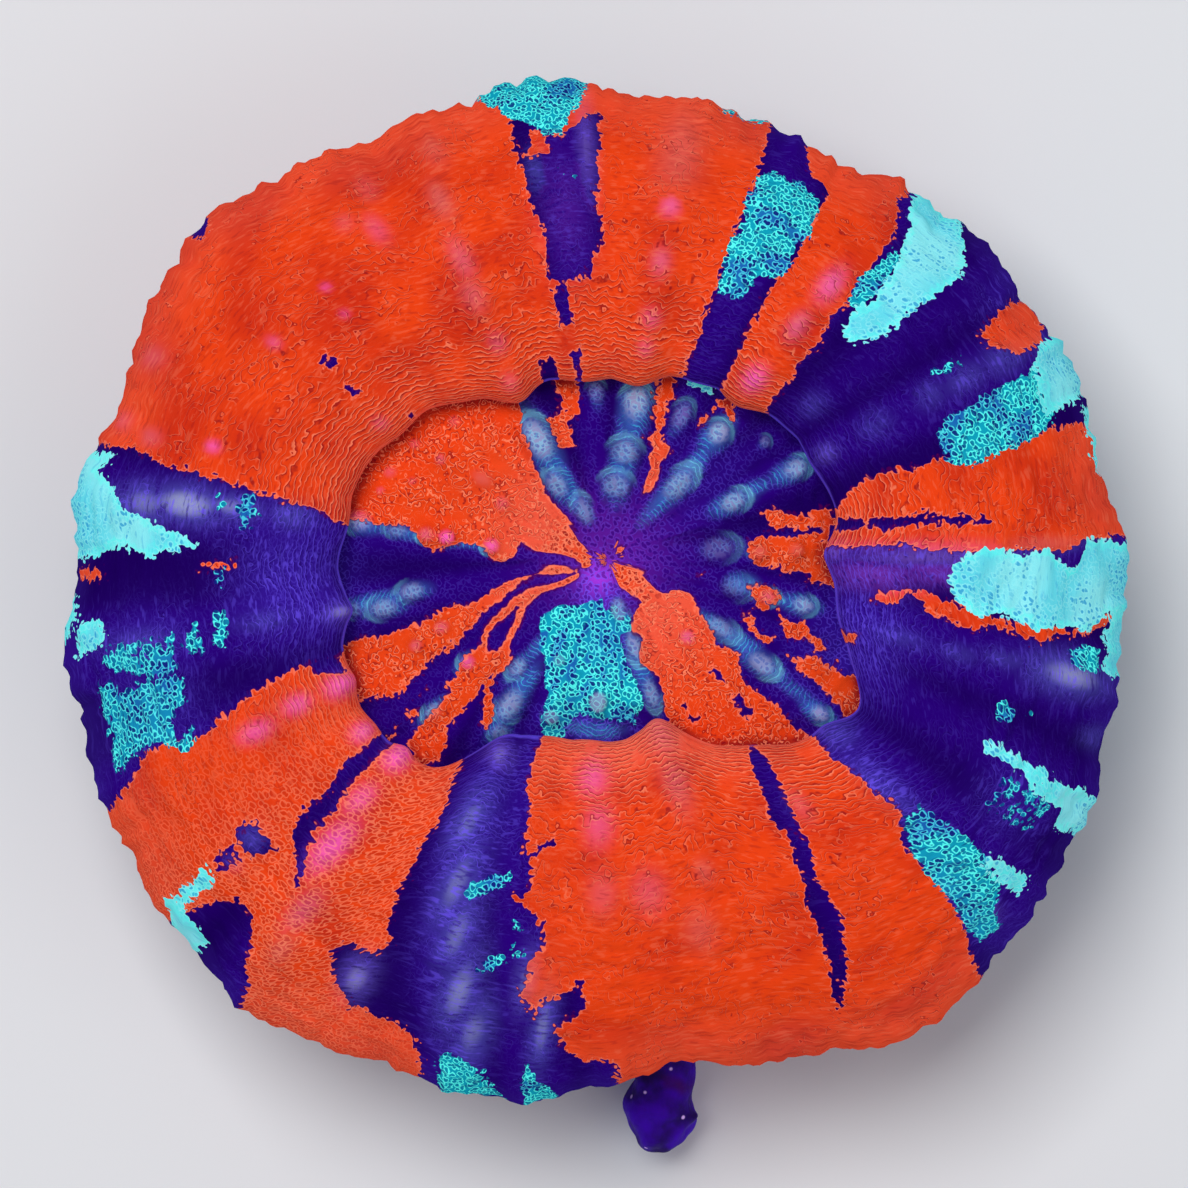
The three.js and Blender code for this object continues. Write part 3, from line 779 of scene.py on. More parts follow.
@dataclass(frozen=True)
class Marks:
    """The small marks of the skin. Each is a wire from 0 to 1, apart from the last four.

    A fold has a bright line on its crest, a painted highlight that round the teeth takes the rings' blue,
    and a dark crease beside it, painted shade. A cell has a ring, a wall where the ring shows, a hole in its
    middle and a wider pit. A curl is a short winding bright line of the disc, a painted highlight, with its
    painted shadow. High and low are the tops and bottoms of the finest wrinkles, painted lighter and darker
    as their light and shade. Fine is their height, breaks lets marks come and go, jag roughens the edges of
    patches, in millimetres, and oval is 1 at the edge of the nearest tooth.
    """

    fold_highlight: Wire
    crease_shade: Wire
    ring: Wire
    wall: Wire
    hole: Wire
    pit: Wire
    curl_highlight: Wire
    shadow: Wire
    high: Wire
    low: Wire
    fine: Wire
    breaks: Wire
    jag: Wire
    oval: Wire


@dataclass(frozen=True)
class FleshFinish:
    """Wet flesh under blue light: orange, indigo and cyan patches with scalloped edges and cells."""

    orange: Colour = (0.77, 0.050, 0.007)
    orange_deep: Colour = (0.50, 0.016, 0.008)
    orange_disc: Colour = (0.76, 0.056, 0.008)
    orange_line: Colour = (1.0, 0.30, 0.16)
    orange_edge: Colour = (1.0, 0.20, 0.11)
    # Painted shade: the dark red of creases, of the curls' shadows, of the wrinkles' bottoms and under the
    # lip, and of the cells' holes.
    crease_shade: Colour = (0.20, 0.002, 0.012)
    salmon: Colour = (0.88, 0.13, 0.085)
    pink: Colour = (0.60, 0.13, 0.13)
    magenta: Colour = (0.95, 0.11, 0.58)
    indigo: Colour = (0.020, 0.0003, 0.17)
    # Painted shade: the dark indigo of the valleys between the ridges, of creases and under the rim.
    indigo_shade: Colour = (0.011, 0.0001, 0.092)
    indigo_line: Colour = (0.15, 0.085, 0.86)
    blue: Colour = (0.042, 0.012, 0.34)
    seam: Colour = (0.085, 0.0003, 0.065)
    violet: Colour = (0.38, 0.042, 0.74)
    lilac: Colour = (0.29, 0.31, 0.54)
    haze: Colour = (0.085, 0.080, 0.43)
    plum: Colour = (0.20, 0.035, 0.42)
    steel: Colour = (0.040, 0.13, 0.47)
    orchid: Colour = (0.30, 0.07, 0.62)
    ring_blue: Colour = (0.045, 0.36, 0.64)
    ring_pale: Colour = (0.20, 0.62, 0.78)
    cyan: Colour = (0.005, 0.33, 0.47)
    cyan_blue: Colour = (0.012, 0.12, 0.42)
    cyan_line: Colour = (0.10, 1.0, 0.88)
    cyan_deep: Colour = (0.006, 0.006, 0.17)
    cyan_pale: Colour = (0.12, 0.66, 0.77)
    cyan_white: Colour = (0.31, 0.86, 0.89)
    cell_count: float = 1.8
    cell_chance: float = 0.75
    cell_push: Vector = (0.5, -0.5, 0)
    ring_middle: float = 0.40
    # Widths in millimetres of each fold's painted highlight and of the painted shade in its crease, and the
    # steps of the finest wrinkles' painted light and shade.
    fold_highlight_mm: tuple[float, float] = (0.02, 0.13)
    crease_shade_mm: tuple[float, float] = (0.03, 0.17)
    wrinkle: tuple[float, float] = (0.05, 0.20)
    edge_soft: float = 0.04
    # Emission strength: a painted glow of the flesh's own colour, standing in for its fluorescence under blue
    # light.
    glow: float = 0.18
    bump_mm: float = 0.1

    def marks(self, sheet: NodeSheet, fields: dict[Pattern, Wire]) -> Marks:
        """The skin's small marks, from noise and cells over the skin and from the places of its folds.

        Args:
            sheet: the material's nodes.
            fields: the skin's fields.

        Returns:
            The marks.
        """
        skin = sheet.field(SKIN_PLACE, "Vector")
        meander = sheet.noise(skin, 0.6, 1.0) - 0.5
        rough = sheet.noise(skin, 1.6, 1.0) - 0.5
        fine = sheet.noise(sheet.field(GRAIN_PLACE, "Vector"), 1.0, 1.0, flat=False) - 0.5
        cell = sheet.cells(sheet.push(skin, rough, self.cell_push), self.cell_count, self.cell_chance)
        turn = sheet.math("FRACT", fields[Pattern.WAVE] + meander * fields[Pattern.SWAY] + rough)
        before = turn * fields[Pattern.PITCH]
        after = (1 - turn) * fields[Pattern.PITCH]
        breaks = fields[Pattern.BREAKS] + fine * 3.0
        ring = 1 - sheet.math("ABSOLUTE", cell - self.ring_middle).step(0.04, 0.13)
        winding = sheet.math("FRACT", meander * 5.0 + rough * 3.0)
        scallop = (0.47 - cell) * 0.9 + rough * 1.1 + meander * 0.9
        # Fold, curl and high are painted highlights of the wrinkles; crease, shadow and low are their painted
        # shade.
        return Marks(
            fold_highlight=(1 - before.step(*self.fold_highlight_mm)) * breaks.step(-1.2, 0.8),
            crease_shade=(1 - after.step(*self.crease_shade_mm)) * breaks.step(-0.5, 0.9) * (1 - fields[Pattern.DISC]),
            ring=ring,
            wall=ring * breaks.step(-1.6, 0.4),
            hole=1 - cell.step(0.20, 0.32),
            pit=1 - cell.step(0.25, 0.36),
            curl_highlight=(1 - winding.step(0.06, 0.30)) * breaks.step(-1.6, 0.4),
            shadow=winding.step(0.62, 0.94) * breaks.step(-1.2, 0.8),
            high=(0 - fine).step(*self.wrinkle),
            low=fine.step(*self.wrinkle),
            fine=fine,
            breaks=breaks,
            jag=scallop * fields[Pattern.JAG],
            oval=fields[Pattern.TOOTH] + fine * 0.25,
        )

    def make(self) -> bpy.types.Material:
        """Builds the material from the skin's fields: each patch shows where its depth is above 0.

        Returns:
            The material.
        """
        sheet = NodeSheet("coral_flesh")
        fields = {pattern: sheet.field(pattern.value) for pattern in Pattern}
        marks = self.marks(sheet, fields)
        warm = fields[Pattern.ORANGE] + marks.jag
        mesh = fields[Pattern.MESH] + marks.jag
        pale = fields[Pattern.PALE] + marks.jag
        edge = (-self.edge_soft, self.edge_soft)
        orange = self.orange_skin(sheet, fields, marks)
        orange = sheet.mix((1 - warm.step(0.03, 0.20)) * 0.75, orange, self.orange_edge)
        indigo = self.indigo_skin(sheet, fields, marks)
        indigo = sheet.mix(warm.step(-0.24, -0.05) * 0.75, indigo, self.seam)
        colour = sheet.mix(warm.step(*edge), indigo, orange)
        colour = sheet.mix(mesh.step(*edge), colour, self.net_skin(sheet, fields, marks))
        colour = sheet.mix(pale.step(*edge), colour, self.pale_skin(sheet, fields, marks, pale))
        # Painted shade under the rim.
        colour = sheet.mix(fields[Pattern.UNDER] * 0.7, colour, self.indigo_shade)
        relief = {"Strength": 0.5, "Distance": self.bump_mm * MM, "Height": marks.fine}
        return sheet.finish({
            "Base Color": colour,
            # Painted glow: the colour is also emitted, as the flesh's fluorescence under blue light.
            "Emission Color": colour,
            "Emission Strength": self.glow,
            "Roughness": marks.fine * 0.2 + 0.5,
            "Specular IOR Level": 0.0,
            "Normal": sheet.add("ShaderNodeBump", {}, relief),
        })

    def orange_skin(self, sheet: NodeSheet, fields: dict[Pattern, Wire], marks: Marks) -> Wire:
        """The orange flesh: cloudy, with pits, pink over the teeth, and painted highlights and shade on its
        wrinkles.

        Args:
            sheet: the material's nodes.
            fields: the skin's fields.
            marks: the skin's small marks.

        Returns:
            The colour.
        """
        on_disc = fields[Pattern.DISC]
        on_mantle = 1 - on_disc
        celled = fields[Pattern.CELLS]
        near_mouth = fields[Pattern.MOUTH].step(0.03, 0.15)
        calm = 1 - fields[Pattern.SWAY].step(2.0, 5.0) * 0.5
        # Line is the painted highlight of folds, curls and wrinkle tops, with the cells' rings and walls;
        # dark is the painted shade of creases, curls' shadows and wrinkle bottoms, with the cells' holes.
        line = (marks.fold_highlight * (1 - celled) * calm | marks.high * 0.22) * on_mantle
        line = line | (marks.curl_highlight | marks.wall * near_mouth) * on_disc | marks.ring * celled * 0.8
        dark = marks.crease_shade * (1 - celled) | marks.low * on_mantle * 0.4 | marks.hole * celled * 0.5
        dark = dark | (marks.shadow * (1 - near_mouth) | marks.hole * near_mouth) * on_disc
        colour = sheet.mix(fields[Pattern.CLOUD].step(-1.0, 2.6) * 0.65, self.orange, self.orange_deep)
        colour = sheet.mix(on_disc * 0.8, colour, self.orange_disc)
        # Salmon tint, with a painted highlight along the lip's edge.
        colour = sheet.mix(fields[Pattern.SALMON_AND_HIGHLIGHT], colour, self.salmon)
        # Painted shadow on the disc under the lip's overhang.
        colour = sheet.mix(fields[Pattern.SHADE], colour, self.crease_shade)
        tooth = sheet.mix(fields[Pattern.MAGENTA], self.pink, self.magenta)
        shine = fields[Pattern.GLOW] | (1 - marks.oval.step(0.1, 1.1)) * fields[Pattern.POWER]
        colour = sheet.mix(shine * 0.8, colour, tooth)
        # Painted shade and painted highlights of the wrinkles, with the cells' holes and rings.
        colour = sheet.mix(dark * 0.7, colour, self.crease_shade)
        return sheet.mix(line * 0.6, colour, self.orange_line)

    def indigo_skin(self, sheet: NodeSheet, fields: dict[Pattern, Wire], marks: Marks) -> Wire:
        """The indigo flesh: valleys in painted shade, blue hazes, pale teeth ringed with blue, and violet at
        the mouth.

        Args:
            sheet: the material's nodes.
            fields: the skin's fields.
            marks: the skin's small marks.

        Returns:
            The colour.
        """
        on_mantle = 1 - fields[Pattern.DISC]
        ridge, blue, mouth = fields[Pattern.RIDGE], fields[Pattern.BLUE], fields[Pattern.MOUTH]
        power, rings, glow = fields[Pattern.POWER], fields[Pattern.RINGS], fields[Pattern.GLOW]
        # Painted shade: darker indigo in the valleys, lighter on the ridges.
        colour = sheet.mix(ridge.step(0.1, 0.9), self.indigo_shade, self.indigo)
        colour = sheet.mix(blue, colour, self.blue)
        colour = sheet.mix(mouth * (1 - marks.hole * 0.6), colour, self.violet)
        # Painted shade in the creases.
        colour = sheet.mix(marks.crease_shade * 0.5, colour, self.indigo_shade)
        pale = sheet.mix(fields[Pattern.MAGENTA], self.lilac, self.orchid)
        haze = sheet.mix(fields[Pattern.MAGENTA], self.haze, self.plum)
        haze = sheet.mix(glow.step(0.45, 0.95), haze, pale)
        # The hazes over the teeth are dimmer at the wrinkles' bottoms, painted shade.
        colour = sheet.mix(glow * (0.95 - marks.low * 0.6), colour, haze)
        lit = ridge * 0.15 + blue * 0.8 + glow * 0.6 + rings * 0.5 + mouth * 0.7
        web = marks.wall * (fields[Pattern.DISC] * 0.4 + 0.25)
        # Painted highlights on the folds and wrinkle tops, with the web of cell walls.
        line = (marks.fold_highlight * 0.9 | marks.high * 0.8) * on_mantle | web
        colour = sheet.mix(line * lit, colour, self.indigo_line)
        # Mostly the painted highlight along the lip's edge, as a bright blue line.
        lip = fields[Pattern.SALMON_AND_HIGHLIGHT].step(0.18, 0.55) * on_mantle
        colour = sheet.mix(lip * 0.6, colour, self.indigo_line)
        colour = sheet.mix(rings.step(0.15, 0.85) * 0.7, colour, self.steel)
        # Round the teeth the folds' painted highlights take the rings' blue.
        ringed = marks.fold_highlight * rings.step(0.2, 0.7) * (marks.oval.step(0.6, 1.2) * 0.75 + 0.25)
        colour = sheet.mix(ringed, colour, self.ring_blue)
        tooth = sheet.mix(marks.fold_highlight * 0.6 | marks.wall * 0.5, pale, self.ring_pale)
        inside = (1 - marks.oval.step(0.3, 1.05)) * power
        colour = sheet.mix(inside * (0.9 - marks.hole * 0.5), colour, tooth)
        cap = 1 - sheet.math("ABSOLUTE", marks.oval - 1.1).step(0.1, 0.35)
        cap = cap * fields[Pattern.OUTER] * power
        return sheet.mix(cap * (marks.fold_highlight * 0.5 + 0.4), colour, self.ring_pale)

    def net_skin(self, sheet: NodeSheet, fields: dict[Pattern, Wire], marks: Marks) -> Wire:
        """The cyan net: bright rings with dark pits, bluer in places, with lilac over the teeth.

        Args:
            sheet: the material's nodes.
            fields: the skin's fields.
            marks: the skin's small marks.

        Returns:
            The colour.
        """
        bluer = fields[Pattern.BLUE] | fields[Pattern.BREAKS].step(0.2, 1.8)
        line = sheet.mix(bluer * 0.7, self.cyan_line, self.ring_blue)
        colour = sheet.mix(bluer, self.cyan, self.cyan_blue)
        colour = sheet.mix(marks.ring, colour, line)
        colour = sheet.mix(marks.pit * (marks.breaks.step(-1.2, 1.0) * 0.6 + 0.3), colour, self.cyan_deep)
        # Painted shade at the bottoms of the wrinkles.
        colour = sheet.mix(marks.low * (1 - fields[Pattern.DISC]) * 0.6, colour, self.cyan_deep)
        tooth = (1 - marks.oval.step(0.6, 1.0)) * fields[Pattern.POWER]
        return sheet.mix(tooth * 0.7, colour, self.lilac)

    def pale_skin(self, sheet: NodeSheet, fields: dict[Pattern, Wire], marks: Marks, depth: Wire) -> Wire:
        """The pale cyan flesh: cloudy, with blue pits and whiter walls, brighter towards its edge.

        Args:
            sheet: the material's nodes.
            fields: the skin's fields.
            marks: the skin's small marks.
            depth: how deep each point lies in the patch, in millimetres.

        Returns:
            The colour.
        """
        colour = sheet.mix(fields[Pattern.CLOUD].step(-0.8, 1.4) * 0.6, self.cyan_pale, self.cyan_white)
        # Painted shade at the bottoms of the wrinkles, in blue.
        colour = sheet.mix(marks.low * 0.4, colour, self.ring_blue)
        colour = sheet.mix((1 - depth.step(0.2, 1.0)) * 0.5, colour, self.cyan_line)
        colour = sheet.mix(marks.hole * marks.breaks.step(0.1, 1.2) * 0.9, colour, self.ring_blue)
        colour = sheet.mix(marks.wall * 0.5, colour, self.cyan_white)
        return sheet.mix((1 - depth.step(0.03, 0.18)) * 0.8, colour, self.cyan_white)


@dataclass(frozen=True)
class StoneFinish:
    """Coral stone under blue light: deep indigo, cloudy, with pale painted glints and a dark red tint in
    places.
    """

    stone: Colour = (0.046, 0.0006, 0.42)
    shade: Colour = (0.012, 0.001, 0.075)
    tint: Colour = (0.045, 0.002, 0.045)
    # The pale colour of the painted glints.
    glint: Colour = (0.65, 0.42, 0.95)
    clouds_per_m: float = 260.0
    tints_per_m: float = 170.0
    grit_per_m: float = 1600.0
    glints_per_m: float = 900.0
    # Emission strength: a painted glow of the stone's own colour.
    glow: float = 0.10
    bump_mm: float = 0.4

    def make(self) -> bpy.types.Material:
        """Builds the material from the piece's own place.

        Returns:
            The material.
        """
        sheet = NodeSheet("coral_stone")
        place = sheet.add("ShaderNodeTexCoord", {}, {}, "Object")
        cloud = sheet.noise(place, self.clouds_per_m, 4.0, flat=False)
        grit = sheet.noise(place, self.grit_per_m, 3.0, flat=False)
        tinted = sheet.noise(place, self.tints_per_m, 2.0, flat=False).step(0.56, 0.68)
        dots = sheet.cells(place, self.glints_per_m, flat=False)
        chance = sheet.add("ShaderNodeSeparateColor", {}, {0: dots.other("Color")}, 0)
        colour = sheet.mix(cloud.step(0.38, 0.66), self.stone, self.shade)
        colour = sheet.mix(tinted * 0.8, colour, self.tint)
        # Painted glints: pale specks stand in for the wet stone's reflections.
        colour = sheet.mix((1 - dots.step(0.10, 0.22)) * chance.step(0.86, 0.92), colour, self.glint)
        relief = {"Strength": 0.7, "Distance": self.bump_mm * MM, "Height": cloud * 0.6 + grit * 0.4}
        return sheet.finish({
            "Base Color": colour,
            # Painted glow: the colour is also emitted.
            "Emission Color": colour,
            "Emission Strength": self.glow,
            "Roughness": grit * 0.3 + 0.55,
            "Specular IOR Level": 0.1,
            "Normal": sheet.add("ShaderNodeBump", {}, relief),
        })


BLADE_RADII = (11, 20, 44)


@dataclass(frozen=True)
class Septum:
    """A stony blade in the flesh: its bearings on the disc, at the lip and at the rim, and its rise."""

    disc: float
    lip: float
    rim: float
    rise: float

    def bearing(self, radius: np.ndarray) -> np.ndarray:
        """Its bearing at a radius, straight between the radii of its three bearings."""
        return np.interp(radius, BLADE_RADII, (self.disc, self.lip, self.rim))


SEPTA = tuple(Septum(*values) for values in (
    (3, 2, 1, 1.0), (26, 26, 26.5, 1.0), (37, 37, 37, 0.6), (49, 51, 52.5, 1.1), (63, 64, 65, 0.9),
    (80, 80, 80, 1.2), (97, 97, 95, 0.9), (121, 118, 112, 1.2), (135, 133, 125, 0.6),
    (149, 148, 140, 0.6), (161, 161, 158, 0.6), (173, 173, 172.5, 1.0), (191, 191, 190, 1.0),
    (203, 205, 206, 1.0), (214, 215.5, 217, 0.8), (220, 224, 230, 1.0), (232, 239, 253, 1.1),
    (248, 252, 262, 1.0), (267, 267, 271, 0.8), (286, 285, 284, 1.1), (314, 308, 303, 0.7),
    (328, 323, 320, 1.2), (337, 335, 333.5, 0.7), (349, 346, 345, 1.1),
))


@dataclass(frozen=True)
class Glow:
    """A tooth of a blade, bare on the disc or shining through the flesh further out.

    Its bearing and reach, half length along the blade, half width and rise are in degrees and millimetres.
    Its strength and how far it turns from pale to magenta go from 0 to 1.
    """

    bearing: float
    reach: float
    half_length: float
    half_width: float
    rise: float
    strength: float
    magenta: float

    def across(self, bearing: np.ndarray, reach: np.ndarray) -> np.ndarray:
        """How far points at a bearing and reach are to the side of its blade, in millimetres."""
        return np.radians(turn_between(bearing, self.bearing)) * reach

    def oval(self, bearing: np.ndarray, reach: np.ndarray, stretch: float = 1.0) -> np.ndarray:
        """How far points are from its middle, as a share of the way to its edge.

        Args:
            bearing: the points' bearings in degrees.
            reach: their reach in millimetres.
            stretch: how many times as long it is made along the blade.

        Returns:
            0 in the middle and 1 on the edge.
        """
        across = self.across(bearing, reach) / self.half_width
        return np.hypot(across, (reach - self.reach) / (self.half_length * stretch))


def flat_glows(rows: tuple[tuple[float, ...], ...]) -> tuple[Glow, ...]:
    """Glows with no rise and no magenta: rows of bearing, reach, half length, half width and strength."""
    return tuple(Glow(*oval, rise=0, strength=strength, magenta=0) for *oval, strength in rows)


MOUTH_HAZE = Glow(240, 1.6, 1.5, 1.6, 0, 1, 1)

DISC_TEETH: tuple[Glow, ...] = tuple(Glow(*values) for values in (
    (80, 13.2, 1.7, 1.3, 1, 1, 0), (49, 14.0, 1.1, 1.1, 0.9, 1, 0), (26, 17.4, 1.4, 1.0, 0.9, 0.8, 0),
    (37, 16.5, 0.6, 0.6, 0.4, 0.35, 0.2), (63, 13.5, 1.4, 0.9, 0.7, 0.4, 0.5),
    (81, 9.3, 1.2, 1.4, 0.8, 0.6, 0), (47, 8.8, 1.9, 1.1, 0.8, 0.7, 0),
    (25, 11.7, 1.4, 1.0, 0.8, 0.75, 0), (6, 9.4, 1.7, 1.2, 0.6, 0.25, 0.3),
    (348, 11.0, 1.4, 1.1, 0.5, 0.2, 0), (84, 6.5, 1.2, 1.4, 0.7, 0.55, 0),
    (94, 14.1, 1.2, 0.8, 0.6, 0.4, 0.5), (120, 11.6, 2.1, 1.3, 1, 1, 0),
    (124, 7.8, 1.4, 1.0, 0.6, 0.65, 0), (116, 4.8, 1.4, 0.9, 0.4, 0.5, 0),
    (171, 21.1, 1.4, 1.1, 0.8, 0.9, 0.3), (172, 13.8, 0.8, 0.8, 0.7, 1, 1),
    (172, 15.5, 0.8, 0.8, 0.6, 0.7, 0.3), (173, 10.0, 0.8, 0.8, 0.6, 0.9, 0.8),
    (172, 17.8, 1.0, 0.7, 0.5, 0.4, 0), (149, 16.4, 0.6, 0.6, 0.5, 0.7, 0.2),
    (147, 12.7, 1.2, 0.9, 0.5, 0.5, 0), (152, 10.2, 0.8, 0.8, 0.4, 0.4, 0.3),
    (138, 17.4, 0.7, 0.7, 0.4, 0.4, 0.2), (149, 18.9, 0.6, 0.6, 0.4, 0.4, 0.3),
    (158, 19.8, 0.7, 0.7, 0.4, 0.4, 0.3), (158, 17.7, 0.5, 0.5, 0.4, 0.4, 0.3),
    (163, 20.0, 0.5, 0.5, 0.4, 0.4, 0.4), (189, 16.7, 1.2, 0.9, 0.7, 0.6, 0.1),
    (192, 19.2, 1.4, 1.0, 0.8, 0.6, 0), (191, 21.7, 0.8, 0.8, 0.5, 0.4, 0),
    (202, 15.2, 0.8, 0.7, 0.5, 0.7, 0.2), (204, 17.7, 0.7, 0.7, 0.5, 0.6, 0.2),
    (216, 14.7, 0.8, 0.8, 0.6, 0.8, 0.7), (221, 19.4, 1.1, 0.8, 0.6, 0.7, 0),
    (230, 11.9, 1.1, 0.8, 0.6, 0.6, 0), (236, 14.7, 1.7, 1.1, 0.9, 0.8, 0),
    (238, 17.0, 1.0, 0.9, 0.6, 0.6, 0), (244, 9.5, 0.6, 0.6, 0.4, 0.3, 0),
    (250, 13.9, 0.7, 0.8, 0.4, 0.5, 0), (316, 9.4, 0.8, 0.8, 0.5, 0.7, 0.5),
    (329, 11.1, 1.7, 0.9, 0.7, 0.5, 0), (326, 15.7, 1.5, 1.0, 0.8, 0.8, 0),
    (324, 21.9, 1.1, 0.8, 0.8, 1, 0.1), (347, 16.7, 1.1, 0.9, 0.8, 0.8, 0),
    (347, 13.8, 0.9, 0.8, 0.6, 0.7, 0.2), (287, 7.7, 1.5, 0.8, 0.5, 0.8, 0),
    (288, 11.7, 1.5, 0.7, 0.4, 0.6, 0), (266, 11.9, 0.9, 0.9, 0.6, 0.9, 0),
    (282, 4.4, 1.2, 0.8, 0.5, 0.55, 0), (3, 12.8, 0.8, 0.8, 0.6, 0.6, 0),
    (3, 15.7, 0.8, 0.8, 0.6, 0.5, 0),
))

DISC_BANDS = flat_glows((
    (119, 8.5, 5.6, 1.0, 0.9), (81.5, 8.5, 4.6, 1.4, 0.8), (48, 8.8, 5.4, 1.0, 0.9),
    (26, 13.6, 2.4, 1.0, 0.6), (236, 14.2, 4.4, 1.1, 0.9), (231, 9.6, 2.6, 0.9, 0.6),
    (328, 12.0, 5.0, 1.0, 0.9), (325, 19.4, 3.6, 1.0, 0.5), (190, 19.4, 4.2, 1.0, 0.7),
    (172.5, 14.5, 6.5, 0.8, 0.8), (287, 8.6, 5.0, 1.1, 0.8), (350, 11.6, 1.8, 1.2, 0.8),
    (347, 15.4, 2.4, 1.0, 0.6), (265, 14.4, 0.9, 3.4, 0.8),
))

